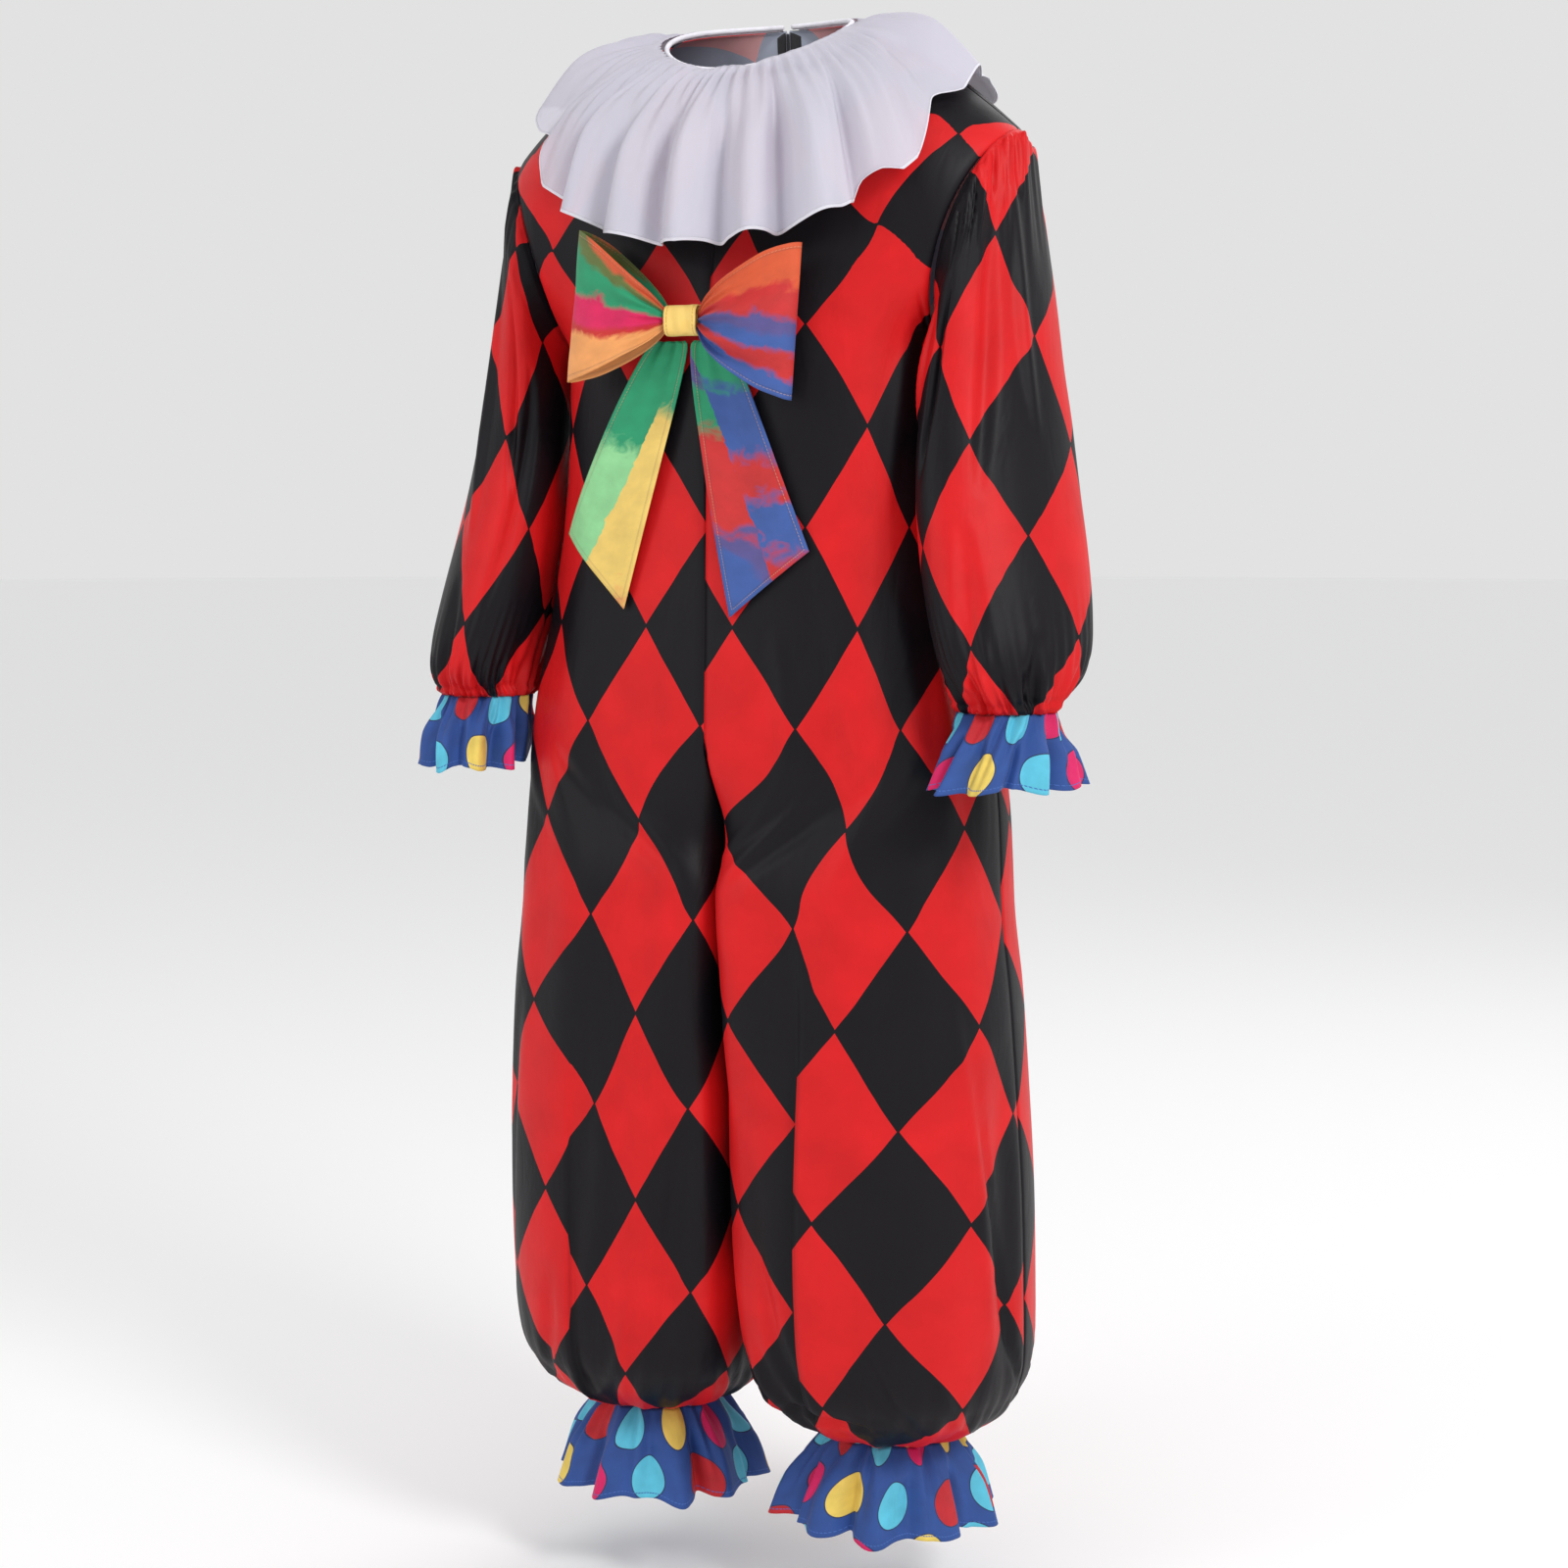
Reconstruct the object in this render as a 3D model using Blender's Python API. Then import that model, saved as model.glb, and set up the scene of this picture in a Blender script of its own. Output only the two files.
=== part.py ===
"""Clown jumpsuit in its worn, hollow form: a harlequin one-piece with gathered sleeves and legs,
dotted cuff and ankle frills, a white frilled collar, a large chest bow and a back zip.

Metres, +Z up, the front faces -Y and the wearer's left is +X. The origin is the middle of the neck
opening, level with the inner ends of the shoulder seams. Every cloth piece is a thin closed wall.
"""

import math

import bmesh
import bpy
import numpy as np
from mathutils import Matrix

# ---- Cloth and seams -------------------------------------------------------------------------
SATIN = 0.0016  # wall of the body and sleeves
FRILL = 0.0014  # wall of the collar and the dotted frills
RIBBON = 0.0018  # wall of the bow, two layers turned out
SEAM_GAP = 0.0003  # clear space between two pieces that are sewn together

# ---- Neck and shoulders ----------------------------------------------------------------------
NECK_HALF_WIDTH = 0.095
NECK_HALF_DEPTH = 0.068
NECK_CENTRE_Y = -0.015
NECK_FRONT_Z = -0.042
NECK_BACK_Z = 0.018
SHOULDER_BULGE = 0.014  # how far the shoulder seam bows up between its ends

# ---- Body sections, from the underarm down to where the legs part -----------------------------
TORSO = [
    ("z", "half_width", "front", "back"),
    (-0.300, 0.1930, 0.130, 0.128),
    (-0.440, 0.2000, 0.132, 0.131),
    (-0.560, 0.2160, 0.135, 0.134),
    (-0.660, 0.2370, 0.138, 0.138),
    (-0.830, 0.2515, 0.140, 0.144),
]
LEG = [  # inner_square below 1 makes the corners beside the inseam fuller than an ellipse's
    ("z", "centre_x", "half_width", "front", "back", "centre_y", "inner_square"),
    (-0.660, 0.1242, 0.1238, 0.137, 0.138, 0.000, 0.13),
    (-0.830, 0.1257, 0.1253, 0.139, 0.139, 0.000, 0.20),
    (-0.920, 0.1320, 0.1285, 0.141, 0.141, 0.000, 0.26),
    (-1.020, 0.1355, 0.1320, 0.142, 0.142, 0.002, 0.30),
    (-1.110, 0.1380, 0.1345, 0.140, 0.140, 0.005, 0.34),
    (-1.210, 0.1390, 0.1350, 0.138, 0.138, 0.009, 0.42),
    (-1.270, 0.1390, 0.1340, 0.135, 0.135, 0.013, 0.52),
    (-1.315, 0.1375, 0.1240, 0.124, 0.124, 0.016, 0.66),
    (-1.345, 0.1345, 0.1030, 0.103, 0.103, 0.019, 0.84),
    (-1.360, 0.1325, 0.0800, 0.080, 0.080, 0.020, 0.95),
    (-1.367, 0.1315, 0.0620, 0.062, 0.062, 0.020, 1.00),
]
FORK_TOP_Z = -0.66  # the centre seams start to sink between the legs here
FORK_Z = -0.82  # and reach the crotch here
SQUARENESS = 0.76  # below 1 the torso's sections are fuller than an ellipse
LEG_SQUARENESS = 0.90  # on the side seam's half of a leg

YOKE_ROWS = 11  # rows from the underarm up to the shoulder seam, of which
CENTRE_ROWS = 5  # these follow the centre front or back, and the rest the neckline
PANEL_COLUMNS = 8
CENTRE_TOP_CURVE = 1.6  # the centre seams leave the neck steeply
CENTRE_LOW_CURVE = 1.6  # and run into the torso upright
BODY_LEVELS = [
    -0.300, -0.380, -0.450, -0.520, -0.590, -0.650, -0.695, -0.735, -0.772,
    -0.802, -0.830, -0.900, -0.980, -1.060, -1.140, -1.210, -1.265,
]  # fmt: skip
HEM_LEVELS = [-1.315, -1.345, -1.360, -1.367]  # these rows carry the ankle gathers
ANKLE_GATHERS = 14  # round one leg
ANKLE_GATHER_DEPTHS = [0.0, 0.0030, 0.0038, 0.0028]
SAMPLES_PER_WAVE = 4
GATHER_UNEVEN = 0.28  # the gathers' depth changes by this share, this many times round a ring
GATHER_UNEVEN_TURNS = 5
GATHER_SWAY = 0.55  # and their spacing sways
GATHER_SWAY_TURNS = 3

# ---- Soft folds of the body, raised or sunk in both walls --------------------------------------
FOLDS = [  # share is across the panel, from the centre seam at 0 to the side seam at 1
    ("face", "share", "half_share", "top_z", "low_z", "depth"),
    ("front", 0.84, 0.10, -0.33, -0.80, -0.007),
    ("front", 0.40, 0.16, -0.40, -1.00, 0.005),
    ("front", 0.64, 0.13, -0.62, -1.10, -0.006),
    ("front", 0.93, 0.07, -0.95, -1.33, -0.009),
    ("front", 0.34, 0.15, -0.95, -1.32, -0.007),
    ("back", 0.78, 0.13, -0.34, -0.90, -0.007),
    ("back", 0.40, 0.16, -0.45, -1.05, 0.006),
    ("back", 0.62, 0.13, -0.80, -1.32, -0.007),
    ("back", 0.25, 0.13, -0.95, -1.32, 0.005),
]

# ---- Sleeve rings, from the armhole to the wrist ------------------------------------------------
SLEEVE = [  # a ring's outer and inner ends, its middle in Y, its half depth, and how far it slants
    ("outer_x", "outer_z", "inner_x", "inner_z", "centre_y", "half_depth", "slant"),
    (0.2620, -0.100, 0.1960, -0.300, 0.004, 0.085, 0.00),
    (0.2660, -0.110, 0.1970, -0.306, 0.002, 0.088, 0.03),
    (0.2695, -0.142, 0.1985, -0.316, -0.003, 0.088, 0.08),
    (0.2755, -0.188, 0.2000, -0.332, -0.010, 0.085, 0.16),
    (0.2825, -0.243, 0.2010, -0.354, -0.018, 0.082, 0.26),
    (0.2905, -0.303, 0.2020, -0.384, -0.026, 0.080, 0.33),
    (0.3000, -0.363, 0.2040, -0.420, -0.033, 0.083, 0.36),
    (0.3105, -0.424, 0.2070, -0.461, -0.040, 0.085, 0.36),
    (0.3235, -0.484, 0.2130, -0.507, -0.048, 0.085, 0.35),
    (0.3350, -0.540, 0.2210, -0.552, -0.057, 0.083, 0.32),
    (0.3400, -0.582, 0.2290, -0.588, -0.063, 0.080, 0.26),
    (0.3360, -0.606, 0.2345, -0.610, -0.066, 0.072, 0.18),
    (0.3280, -0.624, 0.2365, -0.626, -0.068, 0.058, 0.08),
    (0.3220, -0.636, 0.2360, -0.636, -0.068, 0.045, 0.00),
]
ARMHOLE_DENT = 0.012  # the armhole cuts in on the chest and on the shoulder blade
DENT_RINGS = 2  # and the dent fades over this many rings
ARMHOLE_GAP = 0.00075  # along X, where the slanted armhole keeps the seam's gap
SLEEVE_COLUMNS = 20
WRIST_GATHERS = 14
WRIST_GATHER_DEPTHS = [0.0, 0.0028, 0.0034, 0.0025]  # on the last four rings
CAP_GATHERS = 14  # round the whole ring, of which those near the shoulder point stand out
CAP_GATHER_REACH = 0.8  # they fade out at a quarter turn divided by this
CAP_GATHER_DEPTHS = [0.0, 0.0036, 0.0030, 0.0016]  # on the first four rings

# ---- Dotted frills -------------------------------------------------------------------------------
WRIST_FRILL = [  # drop below the elastic, spread of the two half axes, wave depth, shift of the middle
    ("drop", "half_x", "half_y", "wave", "shift_x", "shift_y"),
    (0.0000, 0.0430, 0.0450, 0.0025, 0.0000, 0.0000),
    (0.0220, 0.0450, 0.0560, 0.0050, 0.0025, -0.0050),
    (0.0500, 0.0480, 0.0680, 0.0072, 0.0065, -0.0100),
    (0.0780, 0.0500, 0.0780, 0.0085, 0.0095, -0.0140),
]
ANKLE_FRILL = [
    ("drop", "half_x", "half_y", "wave", "shift_x", "shift_y"),
    (0.0000, 0.0620, 0.0620, 0.0028, 0.0000, 0.0000),
    (0.0200, 0.0770, 0.0750, 0.0056, -0.0010, -0.0020),
    (0.0480, 0.0920, 0.0900, 0.0080, -0.0030, -0.0040),
    (0.0800, 0.1040, 0.1020, 0.0100, -0.0040, -0.0060),
]
FRILL_SLANT = 0.30  # the wrist frill leans the way the sleeve does
HEM_DIP = 0.0040  # the hem rises and falls with the waves

# ---- Collar --------------------------------------------------------------------------------------
COLLAR_HEM = [  # angle round the neck from the front, and where the hem stands there
    ("angle_deg", "x", "y", "z"),
    (0.0, 0.000, -0.170, -0.208),
    (30.0, 0.112, -0.158, -0.192),
    (60.0, 0.198, -0.107, -0.139),
    (90.0, 0.226, -0.014, -0.052),
    (120.0, 0.196, 0.078, -0.083),
    (150.0, 0.114, 0.130, -0.106),
    (180.0, 0.000, 0.148, -0.122),
]
COLLAR_WAVES = 22
COLLAR_WAVE_DEPTHS = [0.0020, 0.0048, 0.0085, 0.0115, 0.0135]  # from the neck to the hem
COLLAR_UNEVEN_TURNS = 5  # the waves crowd and spread this many times round the neck
COLLAR_UNEVEN_SPACING = 0.050
COLLAR_UNEVEN_DEPTH = 0.34
COLLAR_ARCH = 0.026  # how far the collar arches up between neck and hem
COLLAR_ARCH_LEAN = 0.75  # below 1 the arch is highest nearer to the neck
COLLAR_LIFT = 0.0020  # the collar starts this far above the neckline's edge
COLLAR_PARTS_FROM = 0.94  # share of the half turn from which the two ends part
COLLAR_CLEAR = 0.0055  # the least height above the shoulders at the neck
COLLAR_CLEAR_HEM = 0.0050  # and how much more at the hem
SHOULDER_SAMPLES = 36
NEAREST_SAMPLES = 4
COLLAR_STAND_OFF = 0.0045  # clear of the neckline's edge
COLLAR_OPENING_NECK = 0.008  # half of the gap at the centre back, at the neck
COLLAR_OPENING_HEM = 0.024  # and at the hem
BINDING_RADIUS = 0.0026
BINDING_SIDES = 8
BINDING_OPENING = 0.004  # from the centre back to each end
BINDING_INSET = 0.0016  # the binding's middle stands in from the cloth's outer face

# ---- Bow -----------------------------------------------------------------------------------------
KNOT_CENTRE = (-0.013, -0.1490, -0.276)
KNOT_HALF_WIDTH = 0.0165
KNOT_HALF_HEIGHT = 0.0150
KNOT_HALF_DEPTH = 0.0105
KNOT = [  # across the knot, from one open side to the other, and the band's size there
    ("place", "size"),
    (-1.0, 0.94),
    (-0.8, 1.00),
    (0.0, 1.00),
    (0.8, 1.00),
    (1.0, 0.94),
]
KNOT_STEPS = 16
KNOT_SQUARENESS = 0.7
LOOP = [  # along the ribbon from the front of the knot, out to the fold and back behind it
    ("reach", "half_height", "rise", "forward"),
    (0.0152, 0.0062, 0.000, 0.0030),
    (0.0300, 0.0230, 0.000, 0.0140),
    (0.0550, 0.0420, 0.001, 0.0220),
    (0.0850, 0.0600, 0.003, 0.0210),
    (0.1080, 0.0690, 0.004, 0.0130),
    (0.1160, 0.0710, 0.004, 0.0030),
    (0.1080, 0.0690, 0.004, -0.0045),
    (0.0850, 0.0600, 0.003, -0.0062),
    (0.0550, 0.0420, 0.001, -0.0062),
    (0.0300, 0.0230, 0.000, -0.0050),
    (0.0152, 0.0062, 0.000, -0.0030),
]
LOOP_PLEAT = 0.0026
LOOP_ROWS = 6
LOOP_TILT_DEG = {"left": 4.3, "right": -6.0}
TAILS = {  # top edge middle, the outer and the inner corner of the slanted end, and the half width on top
    "right": [(-0.033, -0.294), (-0.164, -0.474), (-0.086, -0.545), 0.015],
    "left": [(0.008, -0.294), (0.106, -0.489), (0.029, -0.551), 0.015],
}
TAIL_ROWS = 9
TAIL_COLUMNS = 4
TAIL_STAND_OFF = 0.0062  # the tails' outer face in front of the chest
TAIL_TOP_STAND_OFF = 0.0040  # more of it under the knot
TAIL_RIPPLE = 0.0032
TAIL_SPREAD = 0.42  # below 1 the tails widen early

# ---- Zip at the centre back ------------------------------------------------------------------------
NECK_LEVEL = YOKE_ROWS - CENTRE_ROWS  # the panels' row that holds the corner of the neckline
ZIP_FOOT_LEVEL = YOKE_ROWS + 3  # and the one at the zip's foot
ZIP_TOP_DROP = 0.04  # share of a row between the neck edge and the zip's top
ZIP_TAPE_WIDTH = 0.0103
ZIP_TAPE = 0.0008
ZIP_TAPE_GAP = 0.0022  # half of the space between the tapes, which the chain fills
ZIP_CHAIN_HALF_WIDTH = 0.0018
ZIP_CHAIN = 0.0018
ZIP_STAND_OFF = 0.0006  # between the cloth's inner face and the tape
SLIDER_LEVEL = NECK_LEVEL + 0.24
SMALL = 0.0001  # a step for reading a surface's slope
SLIDER_HALF_WIDTH = 0.0038
SLIDER_HALF_LENGTH = 0.0055
SLIDER_PLATE = 0.0014
SLIDER_LIFT = 0.0010  # its plate above the cloth at the centre back
EAR_HEIGHT = 0.0036
EAR_THICKNESS = 0.0010
EAR_HALF_LENGTH = 0.0016
PIN_RADIUS = 0.0006
PIN_HEIGHT = SLIDER_PLATE + EAR_HEIGHT - 2 * PIN_RADIUS  # the pin's middle above the plate's foot
PULL_LENGTH = 0.026
PULL_HALF_WIDTH = 0.0019
PULL_THICKNESS = 0.0012
PULL_EYE_RADIUS = 0.0019
PULL_EYE_BORE = 0.0009
BLADE_TOP = 0.0013  # the pull's flat blade starts this far below its pin

LABEL_WIDTH = 0.013
LABEL_THICKNESS = 0.0010
LABEL_OFFSET_X = 0.0165  # its near edge from the centre back
LABEL_LEVELS = (NECK_LEVEL + 0.60, NECK_LEVEL + 1.0)
LABEL_STAND_OFF = 0.0012

HANDS = {"left": 1.0, "right": -1.0}
FACES = {"front": -1.0, "back": 1.0}


# ==== Tables and curves ==============================================================================
def column(table, name):
    """One named column of a table, as an array; the first row holds the names."""
    place = table[0].index(name)
    return np.array([row[place] for row in table[1:]], float)


def smooth(keys, values, at):
    """A smooth curve through (keys, values), read at one place. The keys rise."""
    keys, values = np.asarray(keys, float), np.asarray(values, float)
    at = min(max(at, keys[0]), keys[-1])
    slopes = np.gradient(values, keys)
    steps = np.diff(values) / np.diff(keys)
    for i, step in enumerate(steps):  # no overshoot beside a level stretch
        for end in (i, i + 1):
            if slopes[end] * step <= 0:
                slopes[end] = 0.0
            elif abs(slopes[end]) > 3 * abs(step):
                slopes[end] = 3 * step
    i = min(int(np.searchsorted(keys, at, "right")) - 1, len(keys) - 2)
    span = keys[i + 1] - keys[i]
    t = (at - keys[i]) / span
    return (
        (2 * t**3 - 3 * t**2 + 1) * values[i]
        + (t**3 - 2 * t**2 + t) * span * slopes[i]
        + (3 * t**2 - 2 * t**3) * values[i + 1]
        + (t**3 - t**2) * span * slopes[i + 1]
    )


def by_height(table, name, z):
    """A table's column at height z. Its rows run downwards."""
    return smooth(-column(table, "z"), column(table, name), -z)


def ease(share):
    share = min(max(share, 0.0), 1.0)
    return share * share * (3 - 2 * share)


def power(value, exponent):
    return math.copysign(abs(value) ** exponent, value)


# ==== Walls ==========================================================================================
def strip_between(first, second, wrap):
    """Triangles that join two rows of point numbers, which may hold different counts."""
    n, m = len(first) - (0 if wrap else 1), len(second) - (0 if wrap else 1)
    triangles, i, j = [], 0, 0
    while i < n or j < m:
        a, b = first[i % len(first)], second[j % len(second)]
        if j == m or (i < n and (i + 1) / n <= (j + 1) / m + 1e-9):
            triangles.append((a, b, first[(i + 1) % len(first)]))
            i += 1
        else:
            triangles.append((a, b, second[(j + 1) % len(second)]))
            j += 1
    return triangles


def vertex_normals(points, triangles):
    normals = np.zeros_like(points)
    for a, b, c in triangles:
        face = np.cross(points[b] - points[a], points[c] - points[a])
        for corner in (a, b, c):
            normals[corner] += face
    return normals


def unit(vectors):
    lengths = np.linalg.norm(vectors, axis=-1, keepdims=True)
    return vectors / np.maximum(lengths, 1e-12)


def trimmed(rows, sides):
    """The rows of a sheet with its named sides drawn in by half of the seam's gap."""
    rows = [np.array(row, float) for row in rows]
    half = SEAM_GAP / 2
    if "start" in sides or "end" in sides:
        for row in rows:
            if "start" in sides:
                row[0] += half * unit(row[1] - row[0])
            if "end" in sides:
                row[-1] += half * unit(row[-2] - row[-1])
    for side, edge, beside in (("top", 0, 1), ("bottom", -1, -2)):
        if side in sides:
            outer, inner = rows[edge], rows[beside]
            share = np.linspace(0, len(inner) - 1, len(outer))
            near = np.array([np.interp(share, range(len(inner)), inner[:, k]) for k in range(3)]).T
            rows[edge] = outer + half * unit(near - outer)
    return rows


def wall(name, rows, thickness, wrap=False, level=(), parted=False, flip=False):
    """A closed wall whose outer face goes through the rows of points. The inner face is moved in by
    the thickness. level holds (side, axis) pairs: along that edge the wall's rim keeps square to axis.
    A parted wall's start is a centre seam down to the crotch and an inseam below it."""
    rows = [np.array(row, float) for row in rows]
    numbers, count = [], 0
    for row in rows:
        numbers.append(list(range(count, count + len(row))))
        count += len(row)
    outer = np.concatenate(rows)
    faces = []
    for first, second in zip(numbers, numbers[1:]):
        faces += strip_between(first, second, wrap)
    if flip:
        faces = [(a, c, b) for a, b, c in faces]
    normals = vertex_normals(outer, faces)
    edges = {
        "top": numbers[0],
        "bottom": numbers[-1],
        "start": [row[0] for row in numbers],
        "end": [row[-1] for row in numbers],
    }
    for side, axis in level:
        normals[edges[side], "xyz".index(axis)] = 0.0
    if parted:
        for edge in edges["start"]:
            normals[edge, 0 if outer[edge, 2] > FORK_Z else 1] = 0.0
    inner = outer - thickness * unit(normals)
    shell = faces + [(c + count, b + count, a + count) for a, b, c in faces]
    used = {}
    for a, b, c in faces:
        for edge in ((a, b), (b, c), (c, a)):
            used[edge] = True
    for a, b in used:
        if (b, a) not in used:
            shell += [(b, a, a + count), (b, a + count, b + count)]
    return solid(name, np.concatenate([outer, inner]), shell)


def solid(name, points, faces):
    mesh = bpy.data.meshes.new(name)
    mesh.from_pydata([tuple(p) for p in points], [], [tuple(f) for f in faces])
    mesh.validate()
    form = bmesh.new()
    form.from_mesh(mesh)
    bmesh.ops.recalc_face_normals(form, faces=form.faces)
    form.to_mesh(mesh)
    form.free()
    mesh.shade_smooth()
    mesh.set_sharp_from_angle(angle=math.radians(50))
    thing = bpy.data.objects.new(name, mesh)
    bpy.context.scene.collection.objects.link(thing)
    return thing


def mirrored(rows, hand):
    return [np.array(row, float) * (HANDS[hand], 1.0, 1.0) for row in rows]


# ==== Materials ======================================================================================
COLOURS = {
    "harlequin_satin": ((0.62, 0.03, 0.04), 0.45),
    "dotted_cotton": ((0.08, 0.17, 0.50), 0.65),
    "white_chiffon": ((0.88, 0.86, 0.92), 0.60),
    "dyed_ribbon": ((0.85, 0.45, 0.18), 0.55),
    "knot_ribbon": ((0.93, 0.74, 0.28), 0.60),
    "zip_tape": ((0.02, 0.02, 0.025), 0.75),
    "zip_metal": ((0.05, 0.05, 0.055), 0.35),
    "label_cloth": ((0.92, 0.92, 0.90), 0.70),
}


def material(name):
    if name in bpy.data.materials:
        return bpy.data.materials[name]
    colour, roughness = COLOURS[name]
    made = bpy.data.materials.new(name)
    made.use_nodes = True
    shader = made.node_tree.nodes["Principled BSDF"]
    shader.inputs["Base Color"].default_value = (*colour, 1.0)
    shader.inputs["Roughness"].default_value = roughness
    shader.inputs["Metallic"].default_value = 1.0 if name == "zip_metal" else 0.0
    return made


def dress(thing, name):
    thing.data.materials.append(material(name))
    return thing


# ==== Body panels ====================================================================================
def fold_depth(face, share, z):
    """How far the body's soft folds push the cloth out at this place."""
    depth = 0.0
    for row in FOLDS[1:]:
        fold = dict(zip(FOLDS[0], row))
        if fold["face"] != face or not fold["low_z"] < z < fold["top_z"]:
            continue
        across = (share - fold["share"]) / fold["half_share"]
        down = (fold["top_z"] - z) / (fold["top_z"] - fold["low_z"])
        if abs(across) < 1:
            depth += fold["depth"] * math.cos(across * math.pi / 2) ** 2 * math.sin(down * math.pi)
    return depth


def section_point(face, share, z, swell=0.0):
    """A point of the left half's section: share 0 is the centre seam or inseam, 1 the side seam."""
    sign = FACES[face]
    turn = share * math.pi / 2
    push = swell + fold_depth(face, share, z)
    torso = np.array([
        (by_height(TORSO, "half_width", z) + push) * power(math.sin(turn), SQUARENESS),
        sign * (by_height(TORSO, face, z) + push) * power(math.cos(turn), SQUARENESS),
    ])
    full = 1 - (1 - LEG_SQUARENESS) * ease((z - HEM_LEVELS[-1]) / 0.05)
    if share < 0.5:
        full = by_height(LEG, "inner_square", z)
    leg = np.array([
        by_height(LEG, "centre_x", z)
        - (by_height(LEG, "half_width", z) + push) * power(math.cos(2 * turn), full),
        by_height(LEG, "centre_y", z)
        + sign * (by_height(LEG, face, z) + push) * power(math.sin(2 * turn), full),
    ])
    parted = ease((FORK_TOP_Z - z) / (FORK_TOP_Z - FORK_Z))
    x, y = (1 - parted) * torso + parted * leg
    return np.array([x, y, z])


def neck_point(angle):
    """A point of the neckline; angle 0 is the centre front and half a turn the centre back."""
    front, back = NECK_FRONT_Z, NECK_BACK_Z
    rise = 0.5 - 0.5 * math.cos(angle)
    z = front + (back - front) * rise - (front + back) / 2 * math.sin(angle) ** 2
    return np.array([
        NECK_HALF_WIDTH * math.sin(angle),
        NECK_CENTRE_Y - NECK_HALF_DEPTH * math.cos(angle),
        z,
    ])


def sleeve_ring(index, angle, swell=0.0):
    """A point of a sleeve ring; angle 0 is its outer end, a quarter turn its front."""
    ring = dict(zip(SLEEVE[0], SLEEVE[1 + index]))
    outer = np.array([ring["outer_x"], ring["centre_y"], ring["outer_z"]])
    inner = np.array([ring["inner_x"], ring["centre_y"], ring["inner_z"]])
    half = (outer - inner) / 2
    reach = np.linalg.norm(half)
    across = half * (1 + swell / reach) * math.cos(angle)
    ahead = -(ring["half_depth"] + swell) * math.sin(angle)
    lean = ring["slant"] * ahead
    dent = ARMHOLE_DENT * math.sin(angle) ** 2 * max(0.0, 1 - index / DENT_RINGS)
    return (outer + inner) / 2 + across + np.array([lean - dent, ahead, 0.0])


def armhole_point(face, share):
    """A point of the armhole from the underarm, share 0, to the shoulder point, share 1."""
    angle = math.pi * (1 - share)
    return sleeve_ring(0, angle if face == "front" else -angle)


def shoulder_point(share):
    neck, tip = neck_point(math.pi / 2), armhole_point("front", 1.0)
    bulge = SHOULDER_BULGE * math.sin(math.pi * share)
    return neck + (tip - neck) * share + np.array([0.0, 0.0, bulge])


def centre_point(face, share):
    """The yoke's inner side: up the centre seam, then round the neckline to the shoulder."""
    corner = CENTRE_ROWS / YOKE_ROWS
    quarter = math.pi / 2
    if share > corner:
        turn = quarter * (share - corner) / (1 - corner)
        return neck_point(turn if face == "front" else 2 * quarter - turn)
    low = section_point(face, 0.0, BODY_LEVELS[0])
    neck = neck_point(0.0 if face == "front" else 2 * quarter)
    climb = share / corner
    inward = (1 - (1 - climb) ** CENTRE_TOP_CURVE) ** CENTRE_LOW_CURVE
    out = abs(low[1]) + (abs(neck[1]) - abs(low[1])) * inward
    return np.array([0.0, FACES[face] * out, low[2] + (neck[2] - low[2]) * climb])


def yoke_point(face, share, up):
    """The cloth between underarm and shoulder, blended from its four sides."""
    low = section_point(face, share, BODY_LEVELS[0])
    sides = (1 - share) * centre_point(face, up) + share * armhole_point(face, up)
    ends = (1 - up) * low + up * shoulder_point(share)
    corners = (1 - up) * (
        (1 - share) * centre_point(face, 0.0) + share * armhole_point(face, 0.0)
    ) + up * ((1 - share) * centre_point(face, 1.0) + share * armhole_point(face, 1.0))
    return sides + ends - corners


def gather(angle, waves, depth):
    """The height of uneven waves round a ring; angle 0 is the ring's outer side."""
    uneven = 1 + GATHER_UNEVEN * math.sin(GATHER_UNEVEN_TURNS * angle)
    return depth * uneven * math.cos(waves * angle + GATHER_SWAY * math.sin(GATHER_SWAY_TURNS * angle))


def panel_rows(face):
    """The left half's panel from the shoulder seam down to the ankle elastic."""
    shares = np.linspace(0, 1, PANEL_COLUMNS + 1)
    rows = [
        [yoke_point(face, s, up) for s in shares]
        for up in np.linspace(1, 0, YOKE_ROWS, endpoint=False)
    ]
    rows += [[section_point(face, s, z) for s in shares] for z in BODY_LEVELS]
    fine = np.linspace(0, 1, ANKLE_GATHERS * SAMPLES_PER_WAVE // 2 + 1)
    for z, depth in zip(HEM_LEVELS, ANKLE_GATHER_DEPTHS):
        chosen = fine if depth else np.linspace(0, 1, len(fine) // 2 + 1)
        rows.append([
            section_point(face, s, z, gather(math.pi * (1 + FACES[face] * s), ANKLE_GATHERS, depth))
            for s in chosen
        ])
    return rows


def make_panels():
    for face in FACES:
        rows = trimmed(panel_rows(face), ("top", "start", "end"))
        for hand in HANDS:
            flip = (hand == "right") != (face == "back")
            panel = wall(
                f"{face}_{hand}",
                mirrored(rows, hand),
                SATIN,
                level=(("top", "y"), ("end", "y"), ("bottom", "z")),
                parted=True,
                flip=flip,
            )
            dress(panel, "harlequin_satin")


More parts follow.
